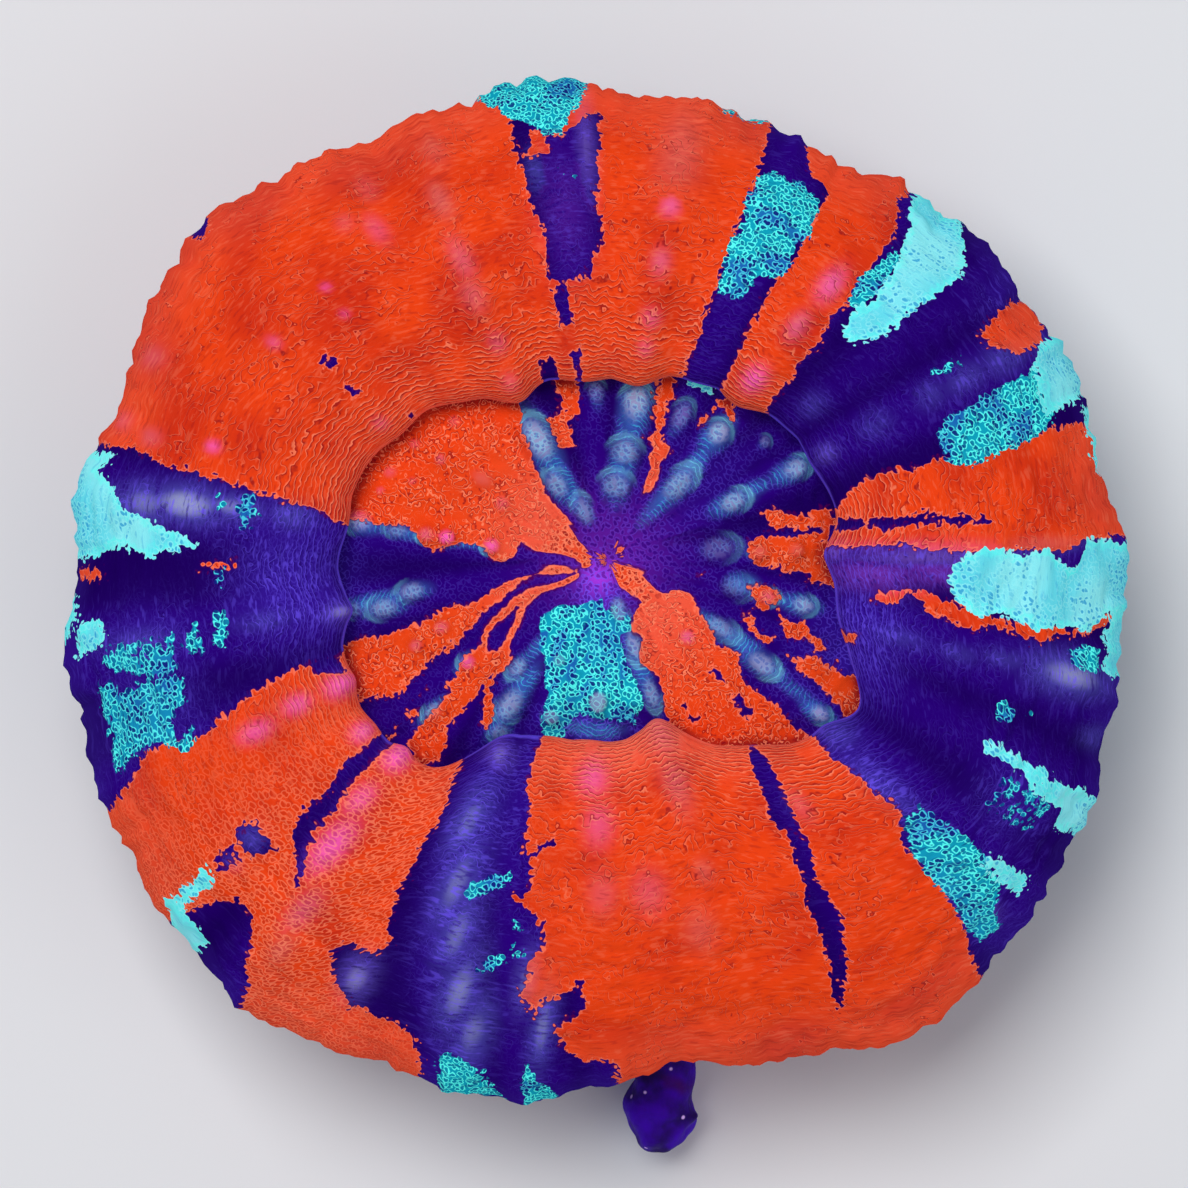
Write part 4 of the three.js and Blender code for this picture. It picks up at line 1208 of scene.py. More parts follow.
MANTLE_TEETH: tuple[Glow, ...] = tuple(Glow(*values) for values in (
    (0.5, 27.0, 7.0, 1.2, 0, 0.6, 0.5), (357, 22.6, 4.0, 1.4, 0, 0.6, 1),
    (358, 27.5, 3.0, 1.2, 0, 0.55, 1), (26, 20.8, 0.9, 0.8, 0.4, 0.5, 0.2),
    (191, 23.5, 1.2, 0.8, 0.5, 0.8, 0.2), (205, 25.3, 1.2, 0.9, 0.6, 1, 0.9),
    (205, 29.0, 1.1, 0.8, 0.3, 0.8, 0.8), (206, 32.8, 1.3, 0.8, 0.3, 0.7, 0.8),
    (215, 25.6, 0.9, 0.8, 0.5, 0.9, 0.8), (223, 24.7, 1.1, 1.0, 0.7, 1, 1),
    (224, 29.1, 1.5, 0.9, 0.3, 0.7, 0.8), (226, 33.4, 2.4, 1.1, 0.3, 0.9, 0.9),
    (229, 38.8, 2.2, 1.0, 0.2, 0.6, 0.3), (230, 42.2, 1.4, 0.9, 0.2, 0.6, 0),
    (113, 36.8, 1.5, 1.0, 0.2, 0.4, 0), (115, 32.9, 1.7, 0.9, 0.2, 0.7, 0),
    (116, 27.9, 1.9, 0.9, 0.2, 0.6, 0.2), (117, 24.8, 1.4, 1.0, 0.2, 0.6, 0.1),
    (125, 33.8, 1.3, 0.8, 0.1, 0.4, 0.5), (123, 37.1, 1.2, 0.9, 0.1, 0.3, 0.1),
    (128, 35.8, 0.8, 0.8, 0.1, 0.35, 0.2), (136, 32.9, 0.4, 0.4, 0.1, 0.5, 0.9),
    (137, 30.2, 0.4, 0.4, 0.1, 0.4, 0.8), (147, 33.3, 0.7, 0.5, 0.1, 0.5, 0.6),
    (164, 34.4, 0.6, 0.5, 0.1, 0.7, 0.9), (165, 39.9, 1.0, 0.8, 0.1, 0.5, 0.2),
    (156, 41.8, 1.0, 1.0, 0.1, 0.4, 0.2), (164, 42.5, 0.8, 0.8, 0.1, 0.4, 0.3),
    (117, 20.7, 0.9, 0.8, 0.2, 0.5, 0.3), (119, 17.4, 0.8, 0.8, 0.2, 0.4, 0.3),
    (149, 22.5, 0.7, 0.6, 0.1, 0.5, 0.3), (80, 34.3, 3.4, 1.9, 0.4, 0.55, 0),
    (80, 29.7, 0.8, 0.8, 0.2, 0.8, 0.5), (80, 25.2, 1.1, 0.8, 0.2, 0.7, 0.3),
    (80, 20.8, 0.8, 0.8, 0.2, 0.5, 0.5), (80, 18.4, 0.8, 0.7, 0.2, 0.5, 0.4),
    (51, 29.4, 1.5, 0.9, 0.3, 0.9, 0.6), (51, 25.2, 1.2, 0.8, 0.3, 0.8, 0.3),
    (51, 19.9, 1.1, 0.9, 0.3, 0.9, 0.9), (37, 21.8, 1.2, 1.0, 0.2, 0.22, 0),
    (27, 25.3, 1.4, 1.1, 0.2, 0.22, 0), (27, 30.2, 1.4, 1.1, 0.2, 0.28, 0),
    (27, 33.3, 1.9, 1.2, 0.3, 0.35, 0), (27, 37.1, 2.1, 1.3, 0.3, 0.4, 0),
    (26, 40.4, 1.3, 1.2, 0.2, 0.35, 0), (2, 19.6, 1.2, 1.0, 0.3, 0.6, 0.6),
    (2, 22.6, 1.9, 0.8, 0.2, 0.45, 0.6), (2, 25.7, 1.7, 0.7, 0.2, 0.5, 0.6),
    (93, 34.4, 4.2, 0.8, 0.2, 0.6, 0.35), (97, 29.5, 4.5, 2.0, 0.2, 0.2, 1),
    (100.5, 33.0, 1.7, 0.8, 0.1, 0.4, 0), (100, 39.8, 0.8, 0.6, 0.1, 0.5, 0),
    (173, 38.8, 2.6, 1.6, 0.3, 0.75, 0), (172.5, 35.4, 3.0, 1.5, 0.4, 1, 0),
    (172, 31.8, 2.2, 1.1, 0.3, 0.75, 0), (172, 27.1, 1.7, 1.1, 0.3, 0.5, 0),
    (190, 39.6, 2.5, 1.0, 0.2, 0.4, 0), (190, 29.4, 2.1, 0.8, 0.2, 0.3, 0),
    (241, 19.1, 1.2, 1.2, 0.4, 0.7, 0.3), (242, 25.0, 3.4, 1.3, 0.3, 0.68, 0),
    (245, 29.9, 3.9, 1.4, 0.3, 0.72, 0), (248, 33.6, 3.4, 1.4, 0.3, 0.72, 0),
    (251, 38.0, 3.8, 1.6, 0.4, 0.78, 0), (254, 41.0, 3.0, 1.6, 0.3, 0.72, 0),
    (259, 35.8, 2.8, 1.0, 0.2, 0.7, 0.1), (262, 39.4, 3.6, 1.0, 0.2, 0.75, 0),
    (239, 41.0, 2.2, 1.4, 0.3, 0.8, 0.2), (218, 37.6, 1.2, 1.2, 0.2, 0.4, 0),
    (219, 40.3, 0.7, 0.8, 0.1, 0.4, 0.4), (266, 18.6, 1.5, 1.2, 0.3, 0.6, 0.8),
    (268, 22.4, 1.7, 1.2, 0.2, 0.5, 0.6), (287, 15.7, 1.9, 1.2, 0.4, 0.7, 0.1),
    (287, 19.9, 2.4, 1.1, 0.3, 0.6, 0.1), (287, 27.2, 1.0, 0.8, 0.2, 0.5, 0),
    (277, 28.1, 1.9, 1.4, 0.2, 0.4, 0.3), (284, 31.7, 1.9, 1.3, 0.2, 0.45, 0),
    (269, 27.9, 1.7, 1.2, 0.2, 0.4, 0.2), (308, 26.3, 1.5, 0.8, 0.2, 0.4, 0.2),
    (345, 30.3, 1.5, 0.8, 0.2, 0.25, 0), (345, 25.6, 2.1, 0.8, 0.2, 0.25, 0),
    (346, 34.1, 1.9, 0.8, 0.2, 0.3, 0), (346, 39.6, 3.4, 1.6, 0.4, 0.85, 0),
    (340, 43.8, 1.5, 1.0, 0.2, 0.35, 0), (317, 43.2, 1.4, 1.2, 0.2, 0.5, 0.3),
    (320, 30.1, 3.4, 1.2, 0.3, 0.28, 0), (323, 24.4, 1.7, 1.4, 0.4, 0.35, 0),
    (2, 36.5, 3.4, 0.7, 0.2, 0.5, 0),
))

BLUE_HAZES = flat_glows((
    (183.6, 26.9, 4.6, 5.1, 0.7), (191, 39.4, 4.2, 3.4, 0.4), (246, 26.8, 11, 2.6, 0.35),
    (342, 22.3, 3.8, 5.1, 0.6), (319, 29.2, 4.2, 2.1, 0.6), (34, 39.7, 2.5, 2.5, 0.3),
    (315, 40.7, 5.1, 2.1, 0.6), (41, 10.3, 5.0, 3.4, 0.2), (198, 40.5, 4.4, 4.4, 0.5),
    (329, 39.8, 3.4, 3.0, 0.5), (270, 6.8, 2.4, 2.2, 0.7), (262, 3.2, 1.7, 2.4, 1),
    (262, 14.2, 1.2, 3.6, 0.9),
))


@dataclass(frozen=True)
class SectionPoint:
    """A point of the section: shares of lip radius and mantle width, offset, height, relief and rings."""

    lip: float
    mantle: float
    offset: float
    height: float
    relief: float
    rings: int


@dataclass(frozen=True)
class Skin:
    """The polyp's skin before its relief, as grids of ring by step, in millimetres.

    Out and up are the parts of its outward direction. From_lip and past_rim are distances along the section.
    Near_rim goes from 0 to 1 at the rim, and swell is a slow noise over the skin.
    """

    bearing: np.ndarray
    places: np.ndarray
    radius: np.ndarray
    height: np.ndarray
    relief: np.ndarray
    out: np.ndarray
    up: np.ndarray
    from_lip: np.ndarray
    past_rim: np.ndarray
    reach: np.ndarray
    on_disc: np.ndarray
    near_rim: np.ndarray
    swell: np.ndarray
    lip_ring: int


@dataclass(frozen=True)
class Polyp:
    """The flesh of the coral: a section carried round the mouth, with septal ridges, teeth and wrinkles."""

    name: str = "polyp_flesh"
    steps: int = 560
    lip_radii: tuple[float, ...] = (
        18.8, 19.6, 19.4, 19.2, 18.6, 17.4, 17.2, 16.6, 15.4, 15.4, 15.6, 16.0,
        15.8, 17.8, 19.8, 20.8, 22.2, 22.4, 22.8, 22.6, 23.8, 24.4, 24.2, 23.0,
        17.4, 16.2, 15.5, 15.6, 15.0, 15.0, 18.0, 20.6, 23.2, 24.6, 21.6, 19.8,
    )
    rim_radii: tuple[float, ...] = (
        43.8, 42.6, 42.8, 41.6, 41.6, 40.4, 38.8, 39.4, 39.2, 40.0, 41.4, 40.4,
        41.0, 42.8, 44.6, 44.8, 43.4, 44.8, 45.2, 46.2, 46.8, 47.4, 48.2, 48.6,
        47.8, 46.2, 46.4, 44.2, 43.0, 45.0, 47.2, 47.6, 46.2, 46.2, 44.8, 44.0,
    )
    section: tuple[SectionPoint, ...] = (
        SectionPoint(0, 0, 0, 25.0, 0, 6),
        SectionPoint(0, 0, 1.8, 26.6, 0.1, 15),
        SectionPoint(0.38, 0, 0, 27.7, 0.7, 22),
        SectionPoint(0.74, 0, 0, 28.0, 1.0, 14),
        SectionPoint(1, 0, -0.4, 26.9, 0.4, 3),
        SectionPoint(1, 0, 1.3, 27.0, 0, 4),
        SectionPoint(1, 0, 0, 29.8, 0.55, 14),
        SectionPoint(1, 0.1, 0, 31.8, 1, 30),
        SectionPoint(1, 0.38, 0, 33.4, 1, 26),
        SectionPoint(1, 0.72, 0, 30.8, 0.9, 18),
        SectionPoint(1, 1, -1.3, 25.7, 0.9, 8),
        SectionPoint(1, 1, 0, 21.5, 0.8, 5),
        SectionPoint(1, 1, -2, 17.3, 0.7, 4),
        SectionPoint(0, 0, 35.5, 13.9, 0.5, 4),
        SectionPoint(0, 0, 31, 11.5, 0.1, 0),
    )
    fold_point: int = 5
    lip_point: int = 6
    rim_point: int = 11
    socket: tuple[tuple[float, float], ...] = ((28.4, 11.5), (28.4, 16.4), (0, 16.4))
    ridge_width: float = 0.9
    ridge_flare: float = 0.065
    disc_ridge: float = 0.7
    mantle_ridge: float = 0.8
    disc_flatness: float = 3.5
    mantle_flatness: float = 2.2
    tooth_bend: float = 0.3
    ring_stretch: float = 1.6
    wrinkle_height: float = 0.03
    wrinkle_reach: float = 9.0
    scale_height: float = 0.08
    disc_scale_height: float = 0.06
    crinkle_height: float = 0.16
    lobe_height: float = 0.16
    skin_start: float = 18.0
    skin_stretch: float = 0.94
    pleat_pitch: float = 0.31
    pleat_growth: float = 0.032
    ring_pitch: float = 0.42
    grain_pitch: float = 3.4
    grain_turn: float = 30.0
    ribbon_sector: tuple[float, float] = (212.0, 18.0)
    cell_sector: tuple[float, float] = (228.0, 20.0)
    salmon_sector: tuple[float, float] = (278.0, 24.0)
    shades: tuple[Station, ...] = ((142, 35, 0.7), (275, 30, -0.7), (80, 16, -0.6))
    pleats: Grain = Grain(seed=11, spread_deg=4.0, spread_mm=0.16)
    scales: Grain = Grain(seed=23, spread_deg=1.4, spread_mm=0.30)
    swells: Grain = Grain(seed=37, spread_deg=3.0, spread_mm=1.1)
    crinkles: Grain = Grain(seed=41, spread_deg=0.5, spread_mm=1.0)
    clouds: Grain = Grain(seed=43, spread_deg=3.4, spread_mm=1.3)
    breaks: Grain = Grain(seed=47, spread_deg=2.0, spread_mm=0.7)

    def places(self) -> np.ndarray:
        """Places along the section, one for each ring, counted in spans."""
        counts = [point.rings for point in self.section]
        runs = [span + np.arange(count) / max(count, 1) for span, count in enumerate(counts)]
        return np.append(np.concatenate(runs), len(self.section) - 1)

    def section_points(self, bearing: np.ndarray) -> np.ndarray:
        """The section's points at each bearing.

        Args:
            bearing: bearings in degrees.

        Returns:
            The points, as point by bearing by radius, height and relief.
        """
        lip = round_ring(self.lip_radii, bearing)
        width = round_ring(self.rim_radii, bearing) - lip
        rows = []
        for point in self.section:
            radius = point.lip * lip + point.mantle * width + point.offset
            rows.append(np.stack(np.broadcast_arrays(radius, point.height, point.relief), -1))
        return np.stack(rows)

    def skin(self) -> Skin:
        """The bare skin: the section's curve carried round the mouth, and the measures along it.

        Returns:
            The skin.
        """
        bearing = np.arange(self.steps) / self.steps * 360
        places = self.places()
        curve = along_curve(self.section_points(bearing), places)
        radius, height, relief = np.moveaxis(curve, -1, 0)
        heading = np.gradient(curve[..., :2], axis=0)
        length = np.hypot(heading[..., 0], heading[..., 1])
        walked = np.cumsum(length, axis=0)
        lip_ring, rim_ring = np.searchsorted(places, (self.lip_point, self.rim_point))
        past_rim = np.maximum(0, walked - walked[rim_ring])
        reach = np.where(past_rim > 0, radius[rim_ring] + past_rim, radius)
        return Skin(
            bearing=bearing,
            places=places,
            radius=radius,
            height=height,
            relief=relief,
            out=-heading[..., 1] / length,
            up=heading[..., 0] / length,
            from_lip=walked - walked[lip_ring],
            past_rim=past_rim,
            reach=reach,
            on_disc=np.broadcast_to((places < self.fold_point)[:, None], radius.shape),
            near_rim=ramp(radius, 0.86 * radius[rim_ring], radius[rim_ring]),
            swell=self.swells.at(bearing, reach),
            lip_ring=int(lip_ring),
        )

    def ridges(self, skin: Skin) -> np.ndarray:
        """The height of the ridges over the septa, from 0 to about 1.

        A ridge is a bell of the distance across its blade, wider further out. The highest ridge counts.

        Args:
            skin: the bare skin.

        Returns:
            The height at each point.
        """
        highest = np.zeros_like(skin.radius)
        width = self.ridge_width + self.ridge_flare * skin.radius
        for septum in SEPTA:
            across = np.radians(turn_between(skin.bearing, septum.bearing(skin.radius))) * skin.radius
            highest = np.maximum(highest, septum.rise * bell(across, width))
        return highest

    def teeth(self, skin: Skin) -> dict[str, np.ndarray]:
        """The teeth on the disc and under the mantle's skin, and the ringed bands between the disc's teeth.

        A tooth is a flat-topped bump on the disc and a bell under the mantle: the exponential of minus a
        power of its oval distance. Rings of wrinkles reach out from it along the blade.

        Args:
            skin: the bare skin.

        Returns:
            The teeth's rise in millimetres, the glow of the mantle's, the oval distance and power of the
            nearest one, its magenta, how far the skin is ringed, the rings' place along the blade in
            millimetres, bent round the tooth, and where the tooth's outer side is.
        """
        bearing, reach, on_disc = skin.bearing, skin.reach, skin.on_disc
        names = ("rise", "glow", "power", "magenta", "rings", "wave", "outer")
        found = {name: np.zeros(reach.shape) for name in names}
        found["oval"] = np.full(reach.shape, FAR_OVAL)
        sides = ((self.disc_flatness, on_disc, DISC_TEETH), (self.mantle_flatness, ~on_disc, MANTLE_TEETH))
        for flatness, side, teeth in sides:
            for tooth in teeth:
                away = np.where(side, tooth.oval(bearing, reach), FAR_OVAL)
                bump = np.exp(-np.power(away, flatness))
                near = bell(tooth.oval(bearing, reach, self.ring_stretch), 1.1) * side
                nearer = away < found["oval"]
                nearest = {
                    "oval": away,
                    "wave": reach + self.tooth_bend * tooth.across(bearing, reach)**2,
                    "outer": ramp(reach, tooth.reach, tooth.reach + tooth.half_length),
                    "power": tooth.strength * on_disc,
                    "magenta": tooth.magenta,
                }
                largest = {
                    "rise": tooth.rise * bump,
                    "glow": tooth.strength * bump * ~on_disc,
                    "rings": tooth.strength**0.8 * near,
                }
                for name, values in nearest.items():
                    found[name] = np.where(nearer, values, found[name])
                for name, values in largest.items():
                    found[name] = np.maximum(found[name], values)
        for band in DISC_BANDS:
            near = bell(band.oval(bearing, reach), 0.9) * on_disc
            found["rings"] = np.maximum(found["rings"], band.strength * near)
        return found

    def lift(self, skin: Skin, ridges: np.ndarray, rise: np.ndarray) -> np.ndarray:
        """How far the flesh stands out from the bare skin: ridges, teeth, wrinkles, scales and crinkles.

        Args:
            skin: the bare skin.
            ridges: the height of the ridges, from 0 to about 1.
            rise: the height of the teeth in millimetres.

        Returns:
            The height at each point, in millimetres along the skin's outward direction.
        """
        mantle = np.where(skin.on_disc, 0.0, ramp(skin.from_lip, 0, 0.8))
        near_lip = mantle * bell(skin.from_lip, self.wrinkle_reach)
        pleat = self.pleats.at(skin.bearing, skin.from_lip + 10)
        scale = self.scales.at(skin.bearing, skin.reach)
        crinkle = self.crinkles.at(skin.bearing, skin.reach)
        lift = skin.relief * ridges * np.where(skin.on_disc, self.disc_ridge, self.mantle_ridge) + rise
        lift += self.wrinkle_height * near_lip * pleat
        lift += self.scale_height * (mantle - near_lip * 0.7) * (scale + 1.2 * skin.swell)
        lift += self.crinkle_height * mantle * skin.near_rim * crinkle
        on_disc = self.disc_scale_height * ramp(skin.radius, 2, 6) * (scale + skin.swell)
        lift += np.where(skin.on_disc, on_disc, 0.0)
        return lift * ramp(skin.places[-1] - skin.places, 0, 1)[:, None]

    def patches(self, skin: Skin) -> dict[Pattern, np.ndarray]:
        """How deep each point lies in the orange, pale and netted patches, in millimetres.

        Args:
            skin: the bare skin.

        Returns:
            The depths, below 0 outside.
        """
        bearing, reach = skin.bearing, skin.reach
        x, y = np.moveaxis(around(bearing, reach, 0.0), -1, 0)[:2]
        disc_orange = patch_depth(ORANGE_DISC, bearing, reach)
        disc_orange = np.maximum(disc_orange, outline_depth(ORANGE_DISC_OUTLINES, x, y))
        disc_orange = np.minimum(disc_orange, -patch_depth(CUTS_DISC, bearing, reach))
        cuts = np.maximum(patch_depth(CUTS_MANTLE, bearing, reach), outline_depth(CUT_OUTLINES, x, y))
        orange = np.minimum(patch_depth(ORANGE_MANTLE, bearing, reach), -cuts)
        orange = np.maximum(orange, patch_depth(ORANGE_BITS, bearing, reach))
        pale = np.maximum(patch_depth(PALE, bearing, reach), outline_depth(PALE_OUTLINES, x, y))
        faint = np.maximum(patch_depth(FAINT_MESH, bearing, reach), outline_depth(FAINT_OUTLINES, x, y))
        mesh = np.maximum(patch_depth(MESH, bearing, reach), outline_depth(MESH_OUTLINES, x, y))
        mesh = np.maximum(mesh, np.minimum(faint, 0.3) - 0.4)
        return {
            Pattern.ORANGE: np.where(skin.on_disc, disc_orange, orange),
            Pattern.PALE: np.where(skin.on_disc, patch_depth(PALE_DISC, bearing, reach), pale),
            Pattern.MESH: np.where(skin.on_disc, outline_depth(MESH_DISC_OUTLINES, x, y), mesh),
        }

    def fields(
        self, skin: Skin, plan: np.ndarray, ridges: np.ndarray, teeth: dict[str, np.ndarray]
    ) -> dict[Pattern, np.ndarray]:
        """The fields that the finish reads.

        Folds are counted outwards from the lip: the logarithm of their pitch over its growth, since the pitch
        grows evenly with the distance. Patches have lobed edges, less so where the disc's ribbons are.

        Args:
            skin: the bare skin.
            plan: the radius of the flesh in millimetres.
            ridges: the height of the ridges, from 0 to about 1.
            teeth: what teeth gives.

        Returns:
            The fields, each in the shape of the skin or of one ring.
        """
        bearing, reach, from_lip, on_disc = skin.bearing, skin.reach, skin.from_lip, skin.on_disc
        sectors = (self.ribbon_sector, self.cell_sector, self.salmon_sector)
        ribbons, cells, salmon = (bell(turn_between(bearing, middle), width) for middle, width in sectors)
        ribbons = ribbons * (1 - ramp(plan, 12, 15))
        calm = 1 - 0.8 * ribbons
        lobes = self.lobe_height * skin.swell * np.where(on_disc, calm, 1.0)
        pitch = self.pleat_pitch + self.pleat_growth * np.maximum(from_lip, 0)
        waves = np.log(pitch / self.pleat_pitch) / self.pleat_growth
        waves = waves + np.minimum(from_lip, 0) / self.pleat_pitch
        shady = sum(dark * bell(turn_between(bearing, middle), width) for middle, width, dark in self.shades)
        # A salmon tint near the lip, stronger in the salmon sector, a thin painted highlight along the lip's
        # edge, and a tint near the rim.
        lip = (0.08 + 0.55 * salmon) * bell(np.maximum(from_lip - 1, 0), 3.0)
        lip = lip + 0.6 * bell(from_lip - 0.15, 0.4) + 0.25 * skin.near_rim
        under_lip = np.maximum(plan[skin.lip_ring] - plan, 0)
        disc_jag = 0.12 + 0.5 * ramp(plan, 5, 14) * calm
        breaks = self.breaks.at(bearing, reach)
        hazes = [haze.strength * bell(haze.oval(bearing, reach), 1.0) for haze in BLUE_HAZES]
        fields = {pattern: depth + lobes for pattern, depth in self.patches(skin).items()}
        return fields | {
            Pattern.RIDGE: ridges,
            Pattern.BLUE: np.max(hazes, 0),
            Pattern.GLOW: teeth["glow"],
            Pattern.TOOTH: np.where(on_disc, teeth["oval"], FAR_OVAL),
            Pattern.POWER: teeth["power"],
            Pattern.MAGENTA: teeth["magenta"],
            Pattern.DISC: on_disc.astype(float),
            Pattern.SALMON_AND_HIGHLIGHT: np.where(on_disc, 0.5 * bell(plan - 6.5, 4.0), lip),
            Pattern.MOUTH: 0.28 * bell(plan, 5.0) + 0.72 * bell(MOUTH_HAZE.oval(bearing, reach), 1.0),
            Pattern.JAG: np.where(on_disc, disc_jag, 0.45 + 0.35 * ramp(from_lip, 0, 10)),
            Pattern.CELLS: np.where(on_disc, 0.0, 0.9 * cells),
            # Painted shadow on the disc under the lip's overhang.
            Pattern.SHADE: np.where(on_disc, 0.8 * bell(under_lip, 0.6), 0.0),
            Pattern.RINGS: teeth["rings"] * np.where(on_disc, ramp(reach, 2, 4), 0.25),
            Pattern.OUTER: teeth["outer"],
            Pattern.CLOUD: self.clouds.at(bearing, reach) + shady,
            Pattern.BREAKS: breaks + np.where(on_disc, 0.4, 1.2 * bell(from_lip, 12.0)),
            Pattern.WAVE: np.where(on_disc, teeth["wave"] / self.ring_pitch, waves),
            Pattern.PITCH: np.where(on_disc, self.ring_pitch, pitch),
            Pattern.SWAY: np.where(on_disc, 1.2, 1.0 + 4.0 * ramp(from_lip, 1, 12)),
            # Under: where the skin under the rim is painted in shade.
            Pattern.UNDER: ramp(skin.past_rim, 3.0, 12.0),
        }

    def build(self, finish: FleshFinish) -> bpy.types.Object:
        """Builds the flesh as one closed mesh with its fields, and dresses it.

        Args:
            finish: the flesh's finish.

        Returns:
            The piece.
        """
        skin = self.skin()
        bearing, on_disc = skin.bearing, skin.on_disc
        ridges = self.ridges(skin)
        teeth = self.teeth(skin)
        lift = self.lift(skin, ridges, teeth["rise"])
        plan = np.maximum(0, skin.radius + lift * skin.out)
        flesh = around(bearing, plan, skin.height + lift * skin.up)
        socket = [around(bearing, radius, height) for radius, height in self.socket]
        piece = closed_skin(self.name, np.concatenate([flesh, socket]))

        spread = np.where(on_disc, plan, self.skin_start + self.skin_stretch * skin.from_lip)
        put_field(piece, SKIN_PLACE, around(bearing, spread, 0.0), len(socket))
        round_by = np.where(on_disc, self.grain_pitch * plan, self.grain_turn)
        along = np.where(on_disc, 0.0, self.grain_pitch * skin.from_lip)
        put_field(piece, GRAIN_PLACE, around(bearing, round_by, along), len(socket))
        for pattern, values in self.fields(skin, plan, ridges, teeth).items():
            put_field(piece, pattern.value, np.broadcast_to(values, plan.shape), len(socket))
        piece.data.materials.append(finish.make())
        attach(piece, BODY)
        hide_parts("polyp")
        return piece


@dataclass(frozen=True)
class Stalk:
    """The stony stalk: a short ribbed cone, cut flat, with a knobbly spur that reaches out under the rim."""

    name: str = "stalk_stone"
    steps: int = 360
    section: tuple[Vector, ...] = (
        (28.0, 16.0, 0), (28.0, 14.0, 0), (26.8, 12.0, 0.4), (24.6, 9.0, 1), (22.6, 5.5, 1),
        (21.5, 2.0, 1), (21.0, 0.0, 0.6),
    )
    rings_per_span: int = 8
    rib_height: float = 1.1
    rib_width_deg: float = 4.5
    pit_depth: float = 0.15
    pits: Grain = Grain(seed=51, spread_deg=1.2, spread_mm=0.5)
    spur_path: tuple[Vector, ...] = (
        (3, -14, 6.4), (5.4, -28, 6.6), (5, -38, 6.9), (4.9, -44.5, 6.2), (4.6, -48, 5.4),
        (5.1, -50.4, 4.6), (5.5, -51.5, 4.2),
    )
    spur_radii: tuple[float, ...] = (5, 4, 2.8, 2.6, 3.1, 2.3, 0)
    spur_sides: int = 72
    spur_rings_per_span: int = 12
    lump_share: float = 0.07
    lump_span_mm: float = 4.0
    lumps: Grain = Grain(seed=67, spread_deg=16, spread_mm=0.9)

    def cone(self) -> bpy.types.Object:
        """The cone: its section carried round the axis, with a rib below each septum and a pitted wall.

        Returns:
            The cone as a closed mesh.
        """
        bearing = np.arange(self.steps) / self.steps * 360
        points = np.repeat(np.array(self.section)[:, None], self.steps, 1)
        places = np.linspace(0, len(self.section) - 1, (len(self.section) - 1) * self.rings_per_span + 1)
        radius, height, rib = np.moveaxis(along_curve(points, places), -1, 0)
        ribs = np.max([s.rise * bell(turn_between(bearing, s.rim), self.rib_width_deg) for s in SEPTA], 0)
        wall = radius + rib * self.rib_height * ribs + rib * self.pit_depth * self.pits.at(bearing, height)
        top, foot = (around(bearing, 0.0, self.section[end][1])[None] for end in (0, -1))
        return closed_skin(self.name, np.concatenate([top, around(bearing, wall, height), foot]))

    def spur(self) -> bpy.types.Object:
        """The spur: a circle of changing radius carried along a curve, with lumps.

        Returns:
            The spur as a closed mesh.
        """
        spans = len(self.spur_path) - 1
        places = np.linspace(0, spans, spans * self.spur_rings_per_span + 1)
        path = along_curve(np.array(self.spur_path, float)[:, None], places)[:, 0]
        radius = along_curve(np.array(self.spur_radii, float)[:, None, None], places)[:, 0, 0]
        heading = np.gradient(path, axis=0)
        heading /= np.linalg.norm(heading, axis=1, keepdims=True)
        side = np.cross(heading, (0, 0, 1))
        side /= np.linalg.norm(side, axis=1, keepdims=True)
        above = np.cross(side, heading)
        bearing = -np.arange(self.spur_sides) / self.spur_sides * 360
        lumps = self.lumps.at(bearing[None], places[:, None] * self.lump_span_mm)
        swell = np.maximum(radius, 0)[:, None] * (1 + self.lump_share * lumps)
        swell[[0, -1]] = 0
        turn = np.radians(bearing)
        ring = np.cos(turn)[None, :, None] * side[:, None] + np.sin(turn)[None, :, None] * above[:, None]
        return closed_skin("spur", path[:, None] + swell[..., None] * ring)

    def build(self, finish: StoneFinish) -> bpy.types.Object:
        """Builds the stalk as one closed mesh, the cone and the spur joined, and dresses it.

        Args:
            finish: the stone's finish.

        Returns:
            The piece.
        """
        piece, spur = self.cone(), self.spur()
        join = piece.modifiers.new("join", "BOOLEAN")
        join.operation = "UNION"
        join.object = spur
        ready = piece.evaluated_get(bpy.context.evaluated_depsgraph_get())
        mesh = bpy.data.meshes.new_from_object(ready)
        piece.modifiers.clear()
        piece.data = mesh
        bpy.data.objects.remove(spur)
        mesh.materials.clear()
        mesh.materials.append(finish.make())
        mesh.polygons.foreach_set("use_smooth", np.ones(len(mesh.polygons), bool))
        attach(piece, BODY)
        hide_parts("stalk")
        return piece


@dataclass(frozen=True)
class Lamp:
    """A square soft light: its name, its place and size in metres, and its watts."""

    name: str
    place: Vector
    size: float
    watts: float


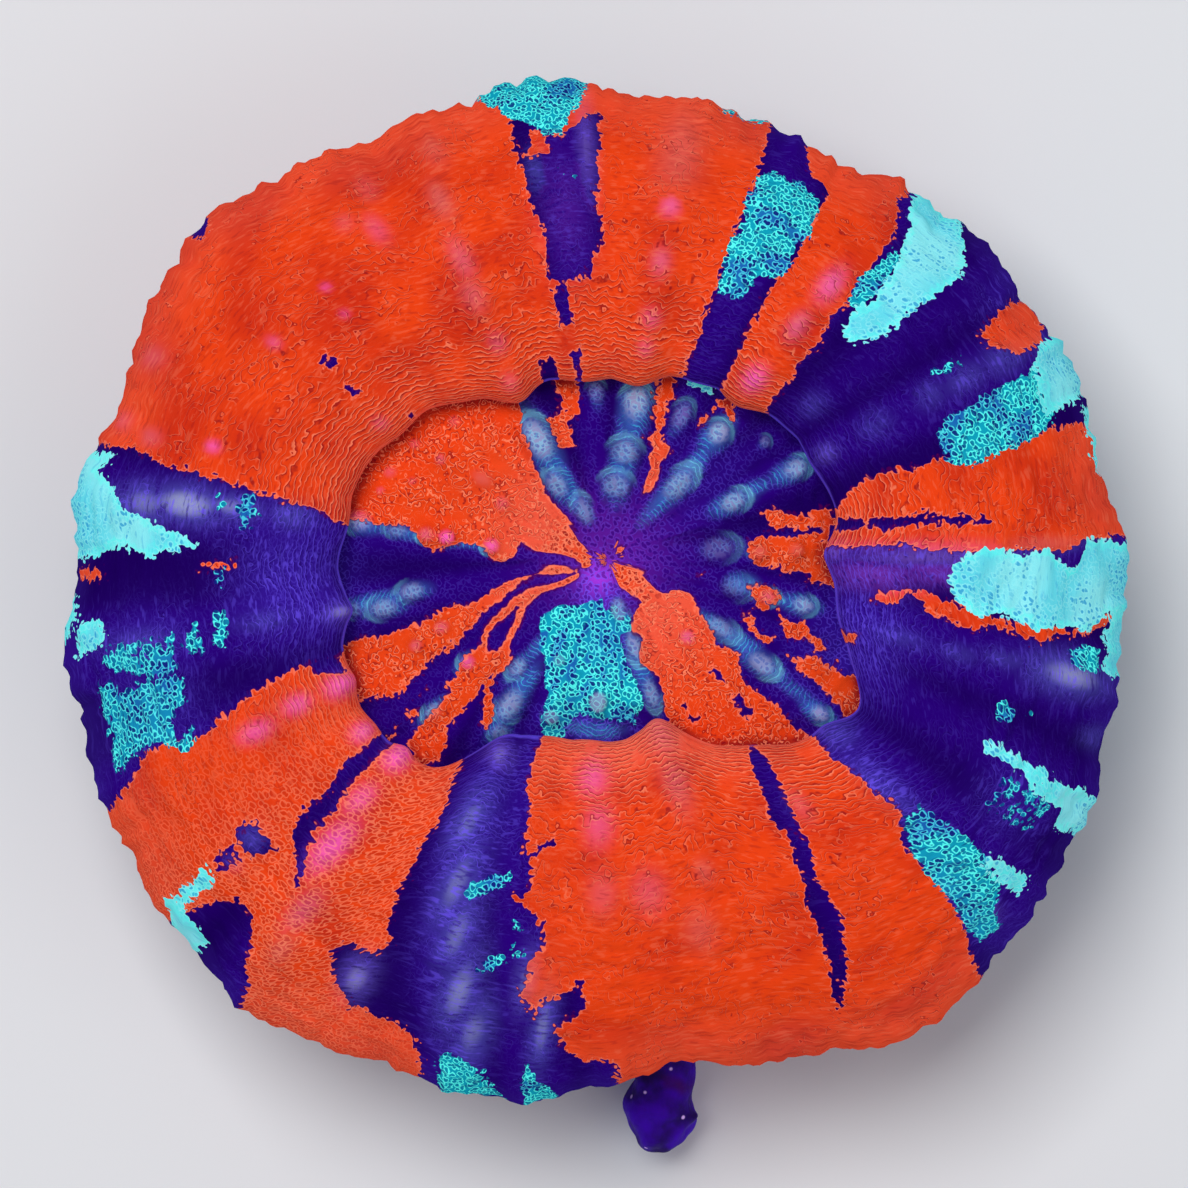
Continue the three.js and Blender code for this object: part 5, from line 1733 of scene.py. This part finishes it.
@dataclass(frozen=True)
class Studio:
    """The pale floor, soft lights and the camera that looks straight down."""

    frame_mm: float = 100.4
    middle_mm: tuple[float, float] = (-1.18, -2.87)
    camera_mm: float = 700.0
    plane_mm: float = 28.0
    sensor_mm: float = 36.0
    floor_size: float = 3.0
    floor_tones: tuple[Colour, Colour] = ((0.80, 0.81, 0.83), (0.85, 0.85, 0.87))
    surroundings: Colour = (0.25, 0.26, 0.28)
    lamps: tuple[Lamp, ...] = (
        Lamp("key", (-0.22, 0.28, 0.95), 0.5, 6.4),
        Lamp("fill", (0.5, -0.4, 0.7), 0.8, 1.4),
    )

    def camera(self) -> None:
        """A long lens straight above, whose frame spans frame_mm at the height of the oral disc."""
        lens = bpy.data.cameras.new("camera")
        lens.sensor_width = self.sensor_mm
        lens.lens = self.sensor_mm * (self.camera_mm - self.plane_mm) / self.frame_mm
        holder = bpy.data.objects.new("camera", lens)
        holder.location = (self.middle_mm[0] * MM, self.middle_mm[1] * MM, self.camera_mm * MM)
        bpy.context.scene.collection.objects.link(holder)
        bpy.context.scene.camera = holder

    def light(self, lamp: Lamp) -> None:
        """Puts a soft light in place, turned to the coral.

        Args:
            lamp: the light.
        """
        light = bpy.data.lights.new(lamp.name, "AREA")
        light.size = lamp.size
        light.energy = lamp.watts
        holder = bpy.data.objects.new(lamp.name, light)
        holder.location = lamp.place
        holder.rotation_euler = (-holder.location).to_track_quat("-Z", "Y").to_euler()
        bpy.context.scene.collection.objects.link(holder)

    def floor(self) -> None:
        """A pale plain floor under the cut."""
        half = self.floor_size / 2
        corners = [(-half, -half, 0), (half, -half, 0), (half, half, 0), (-half, half, 0)]
        mesh = bpy.data.meshes.new("floor")
        mesh.from_pydata(corners, [], [(0, 1, 2, 3)])
        floor = bpy.data.objects.new("floor", mesh)
        bpy.context.scene.collection.objects.link(floor)
        sheet = NodeSheet("pale_floor")
        place = sheet.add("ShaderNodeTexCoord", {}, {}, "Object")
        tone = sheet.mix(sheet.noise(place, 6.0, 4.0), *self.floor_tones)
        mesh.materials.append(sheet.finish({"Base Color": tone, "Roughness": 0.8}))

    def build(self) -> None:
        """Puts the camera, the lights, the floor and the grey surroundings in place."""
        self.camera()
        self.floor()
        for lamp in self.lamps:
            self.light(lamp)
        world = bpy.data.worlds.new("studio")
        world.use_nodes = True
        world.node_tree.nodes["Background"].inputs["Color"].default_value = (*self.surroundings, 1)
        bpy.context.scene.world = world
        bpy.context.scene.view_settings.view_transform = "Standard"


def main() -> None:
    """Builds the coral's pieces and the studio in order, and reports each piece."""
    logging.basicConfig(level=logging.INFO, format="%(name)s: %(message)s")
    Studio().build()
    pieces = (Polyp().build(FleshFinish()), Stalk().build(StoneFinish()))
    for piece in pieces:
        LOG.info("%s has %d faces", piece.name, len(piece.data.polygons))


if __name__ == "__main__":
    main()
